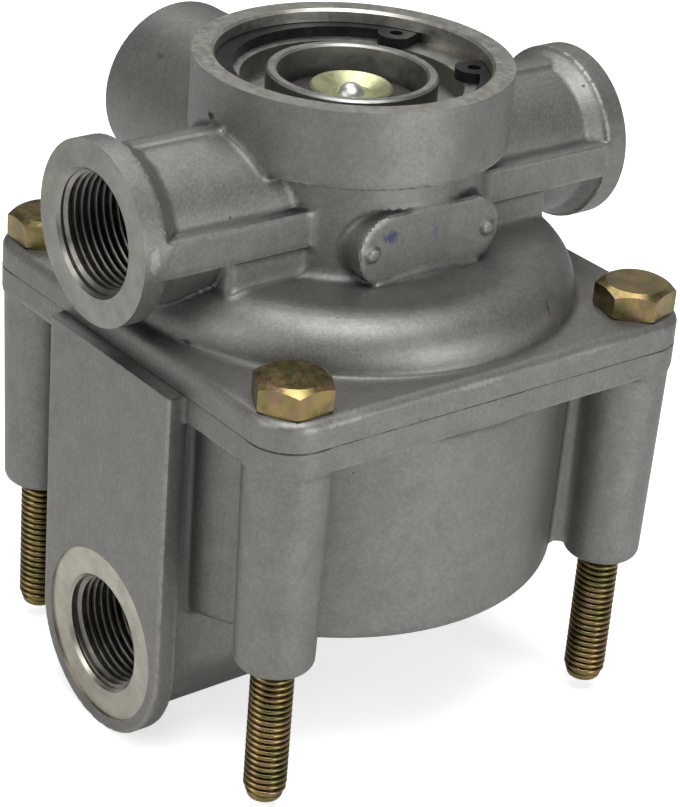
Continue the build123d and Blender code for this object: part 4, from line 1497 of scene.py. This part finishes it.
@dataclass
class Bolt:
    """Hexagon bolt with a chamfered head, a threaded end and yellow zinc plating."""

    number: int
    corner: tuple[int, int]
    turn: float
    finishes: Finishes
    threads: ThreadTree
    sizes: ValveSizes = SIZES

    def head(self) -> Shell:
        """Head, on the plane Z = 0.

        Returns:
            The closed shell.
        """
        s = self.sizes
        per_flat = 14
        angles = np.linspace(0, 2 * math.pi, 6 * per_flat, endpoint=False)
        flats = s.bolt_head_flats / 2
        outline = flats / np.cos((angles + math.pi / 6) % (math.pi / 3) - math.pi / 6)
        lean = math.tan(math.radians(30))
        top = s.bolt_head_height
        shoulder = top - np.maximum(outline - s.bolt_head_top_radius, 0) * lean
        foot = np.maximum(outline - flats + 0.1, 0) * 0.35
        rings = [
            (np.full_like(outline, flats - 0.15), np.zeros_like(outline)),
            (outline, foot),
            (outline, shoulder),
            (np.full_like(outline, s.bolt_head_top_radius), np.full_like(outline, top)),
            (np.full_like(outline, s.bolt_head_top_radius / 2), np.full_like(outline, top)),
        ]
        points = [(r * math.cos(a), r * math.sin(a), z) for radii, heights in rings
                  for r, z, a in zip(radii, heights, angles)]
        n = len(angles)
        last = (len(rings) - 1) * n
        faces: list[tuple[int, ...]] = [tuple(range(n))[::-1], tuple(range(last, last + n))]
        for k in range(len(rings) - 1):
            faces += [(k * n + i, k * n + (i + 1) % n, (k + 1) * n + (i + 1) % n, (k + 1) * n + i)
                      for i in range(n)]
        return Shell(np.array(points), faces)

    def build(self) -> bpy.types.Object:
        """Makes the bolt and sets it in the place of its node.

        Returns:
            The finished object.
        """
        s = self.sizes
        x, y = self.corner[0] * s.bolt_half_spacing, self.corner[1] * s.bolt_half_spacing
        name = f"bolt_{self.number}"
        seat = Matrix.Translation((x, y, s.flange_top)) @ Matrix.Rotation(math.radians(self.turn), 4, "Z")
        body = self.head().placed(seat).to_object(name, self.finishes.zinc)
        sharpen(body, 28)
        minor = s.bolt_root_radius
        core = lathe([(0, s.bolt_end), (2.6, s.bolt_end), *arc((2.5, s.bolt_end + 0.8), 0.8, -85, 0, 4),
                      (minor, s.bolt_end + 1.4), (minor, 6), (3.6, 6.5), (3.6, s.flange_top + 1),
                      (0, s.flange_top + 1)], 56)
        shank = core.placed(Matrix.Translation((x, y, 0))).to_object("shank", self.finishes.zinc)
        turns = (6.0 - s.bolt_end - 0.9) / s.bolt_pitch
        ridge = self.threads.grow("ridge", self.finishes.zinc, Radius=minor - 0.02, Pitch=s.bolt_pitch,
                                  Turns=turns, Depth=s.bolt_crest_radius - minor)
        ridge.data.transform(Matrix.Translation((x * MM, y * MM, (s.bolt_end + 0.9) * MM)))
        sharpen(shank, 28)
        merge(body, [shank, ridge])
        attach(body, Body.HOUSING.value)
        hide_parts(f"mounting_bolt_{self.number}")
        return body


def merge(target: bpy.types.Object, others: Sequence[bpy.types.Object]) -> None:
    """Joins objects into one.

    Args:
        target: The object that takes in the others.
        others: Objects that end up in it.
    """
    bpy.ops.object.select_all(action="DESELECT")
    for item in (target, *others):
        item.select_set(True)
    bpy.context.view_layer.objects.active = target
    bpy.ops.object.join()


# Studio


@dataclass(frozen=True)
class Lamp:
    """Square soft light that looks at the valve."""

    name: str
    place: tuple[float, float, float]
    size: float
    power: float
    tint: str = "#ffffff"

    def build(self, target: Vector) -> None:
        """Makes the light.

        Args:
            target: Point that it looks at.
        """
        data = bpy.data.lights.new(self.name, "AREA")
        data.shape = "SQUARE"
        data.size = self.size
        data.energy = self.power
        data.color = linear(self.tint)[:3]
        lamp = bpy.data.objects.new(self.name, data)
        lamp.location = self.place
        lamp.rotation_euler = (target - Vector(self.place)).to_track_quat("-Z", "Y").to_euler()
        bpy.context.scene.collection.objects.link(lamp)


@dataclass
class Studio:
    """Pale floor, soft lights, white surroundings and the camera."""

    floor_glow: float = 0.66

    def floor(self) -> None:
        """Makes the floor under the valve."""
        level = cad_box[0][2] / MM
        reach = 4000.0
        ground = Shell(np.array([(-reach, -reach, level), (reach, -reach, level), (reach, reach, level),
                                 (-reach, reach, level)]), [(0, 1, 2, 3)])
        paint = Paint("studio_floor_paper", 0.0)
        colour = paint.mix(paint.noise(30.0, 2.0), linear("#e6e6e6"), linear("#e3e3e3"))
        material = paint.finish(colour, 0.9)
        seen = add_node(paint.tree, "ShaderNodeLightPath").outputs["Is Camera Ray"]
        paint.shader.inputs["Emission Color"].default_value = (1.0, 1.0, 1.0, 1.0)
        glow = paint.math("MULTIPLY", seen, self.floor_glow)
        paint.tree.links.new(glow, paint.shader.inputs["Emission Strength"])
        ground.to_object("studio_floor", material)

    def surroundings(self) -> None:
        """Makes the world: white to the camera, softer to the valve."""
        world = bpy.data.worlds.new("studio_world")
        bpy.context.scene.world = world
        world.use_nodes = True
        tree = world.node_tree
        tree.nodes.clear()
        path = add_node(tree, "ShaderNodeLightPath")
        seen = add_node(tree, "ShaderNodeBackground", Color=(1.0, 1.0, 1.0, 1.0), Strength=1.0)
        felt = add_node(tree, "ShaderNodeBackground", Color=linear("#ffffff"), Strength=0.19)
        both = add_node(tree, "ShaderNodeMixShader", input_0=path.outputs["Is Camera Ray"],
                        input_1=felt.outputs["Background"], input_2=seen.outputs["Background"])
        add_node(tree, "ShaderNodeOutputWorld", Surface=both.outputs["Shader"])

    def lights(self) -> None:
        """Makes the lights."""
        target = Vector((0, 0, 0.04))
        for lamp in (
            Lamp("overhead_light", (-0.08, -0.20, 0.80), 0.5, 5.6),
            Lamp("rear_light", (0.15, 0.35, 0.75), 0.4, 2.2),
            Lamp("front_light", (0.10, -0.85, 0.14), 0.4, 3.7),
            Lamp("side_light", (-0.78, 0.05, 0.42), 0.5, 2.7),
            Lamp("far_light", (0.75, 0.35, 0.40), 0.5, 0.3),
        ):
            lamp.build(target)

    def camera(self) -> None:
        """Makes the camera at the photograph's angle."""
        data = bpy.data.cameras.new("photo_camera")
        data.sensor_fit = "HORIZONTAL"
        data.sensor_width = 36.0
        data.lens = 137.808
        data.shift_x = 0.06938
        data.shift_y = 0.03036
        data.clip_start = 0.01
        eye = bpy.data.objects.new("photo_camera", data)
        eye.matrix_world = Matrix((
            (0.803598, 0.229149, -0.549292, -0.279312), (-0.591688, 0.407316, -0.695701, -0.343953),
            (0.064316, 0.884073, 0.462902, 0.250203), (0, 0, 0, 1),
        ))
        bpy.context.scene.collection.objects.link(eye)
        bpy.context.scene.camera = eye

    def build(self) -> None:
        """Makes the whole studio."""
        bpy.context.scene.view_settings.view_transform = "Standard"
        self.floor()
        self.surroundings()
        self.lights()
        self.camera()


# Corner of each bolt and the degrees by which its head is turned in the photograph
BOLT_TURNS = {(-1, -1): 31.3, (1, -1): 46.7, (-1, 1): 56.5, (1, 1): 12.0}


def dress_nodes(finishes: Finishes) -> None:
    """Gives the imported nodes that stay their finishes.

    Args:
        finishes: The valve's materials.
    """
    by_node = {
        "exhaust_insert": finishes.turned,
        "retaining_ring": finishes.black,
        "exhaust_flap": finishes.flap,
        "flap_washer": finishes.washer,
        "flap_rivet": finishes.steel,
        "spring_seat": finishes.steel,
        "valve_tube": finishes.turned,
        "exhaust_seat": finishes.turned,
        "relay_piston": finishes.cast,
        "guide_band": finishes.band,
        "valve_rubber": finishes.seal,
        "valve_seal": finishes.seal,
        "piston_seal": finishes.seal,
        "flange_seal": finishes.seal,
        "insert_seal": finishes.seal,
    }
    for name, material in by_node.items():
        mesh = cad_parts[name].data
        mesh.materials.clear()
        mesh.materials.append(material)


def free_spring(finishes: Finishes) -> None:
    """Sets a steel copy of the spring in the place of its node.

    Args:
        finishes: The valve's materials.
    """
    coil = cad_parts["valve_spring"].copy()
    coil.data = coil.data.copy()
    coil.name = "valve_spring_coil"
    bpy.context.scene.collection.objects.link(coil)
    coil.data.materials.clear()
    coil.data.materials.append(finishes.steel)
    heights = mesh_points(coil.data)[:, 2]
    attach(coil, Body.HOUSING.value)
    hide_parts("valve_spring")
    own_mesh(coil)


def main() -> None:
    """Builds the valve's looks and the studio."""
    logging.basicConfig(level=logging.INFO, format="%(message)s")
    finishes = Finishes()
    threads = ThreadTree()
    PortCasting("port_body_casting", "port_body", finishes).build()
    CoverCasting("control_cover_casting", "control_cover", finishes).build()
    for side in Side:
        start = SIZES.port_face - SIZES.thread_depth + SIZES.thread_start
        place = port_frame(side, SIZES) @ Matrix.Translation((0, 0, start))
        PortThread(f"port_thread_{side.name.lower()}", place, finishes, threads).build()
    start = SIZES.control_face - SIZES.spot_depth - SIZES.thread_depth + SIZES.thread_start
    control = (Matrix.Translation((0, 0, SIZES.control_height)) @ Matrix.Rotation(math.radians(-90), 4, "Y")
               @ Matrix.Translation((0, 0, start)))
    PortThread("control_thread", control, finishes, threads).build()
    for number, (corner, turn) in enumerate(BOLT_TURNS.items(), start=1):
        Bolt(number, corner, turn, finishes, threads).build()
    dress_nodes(finishes)
    free_spring(finishes)
    Studio().build()


if __name__ == "__main__":
    main()
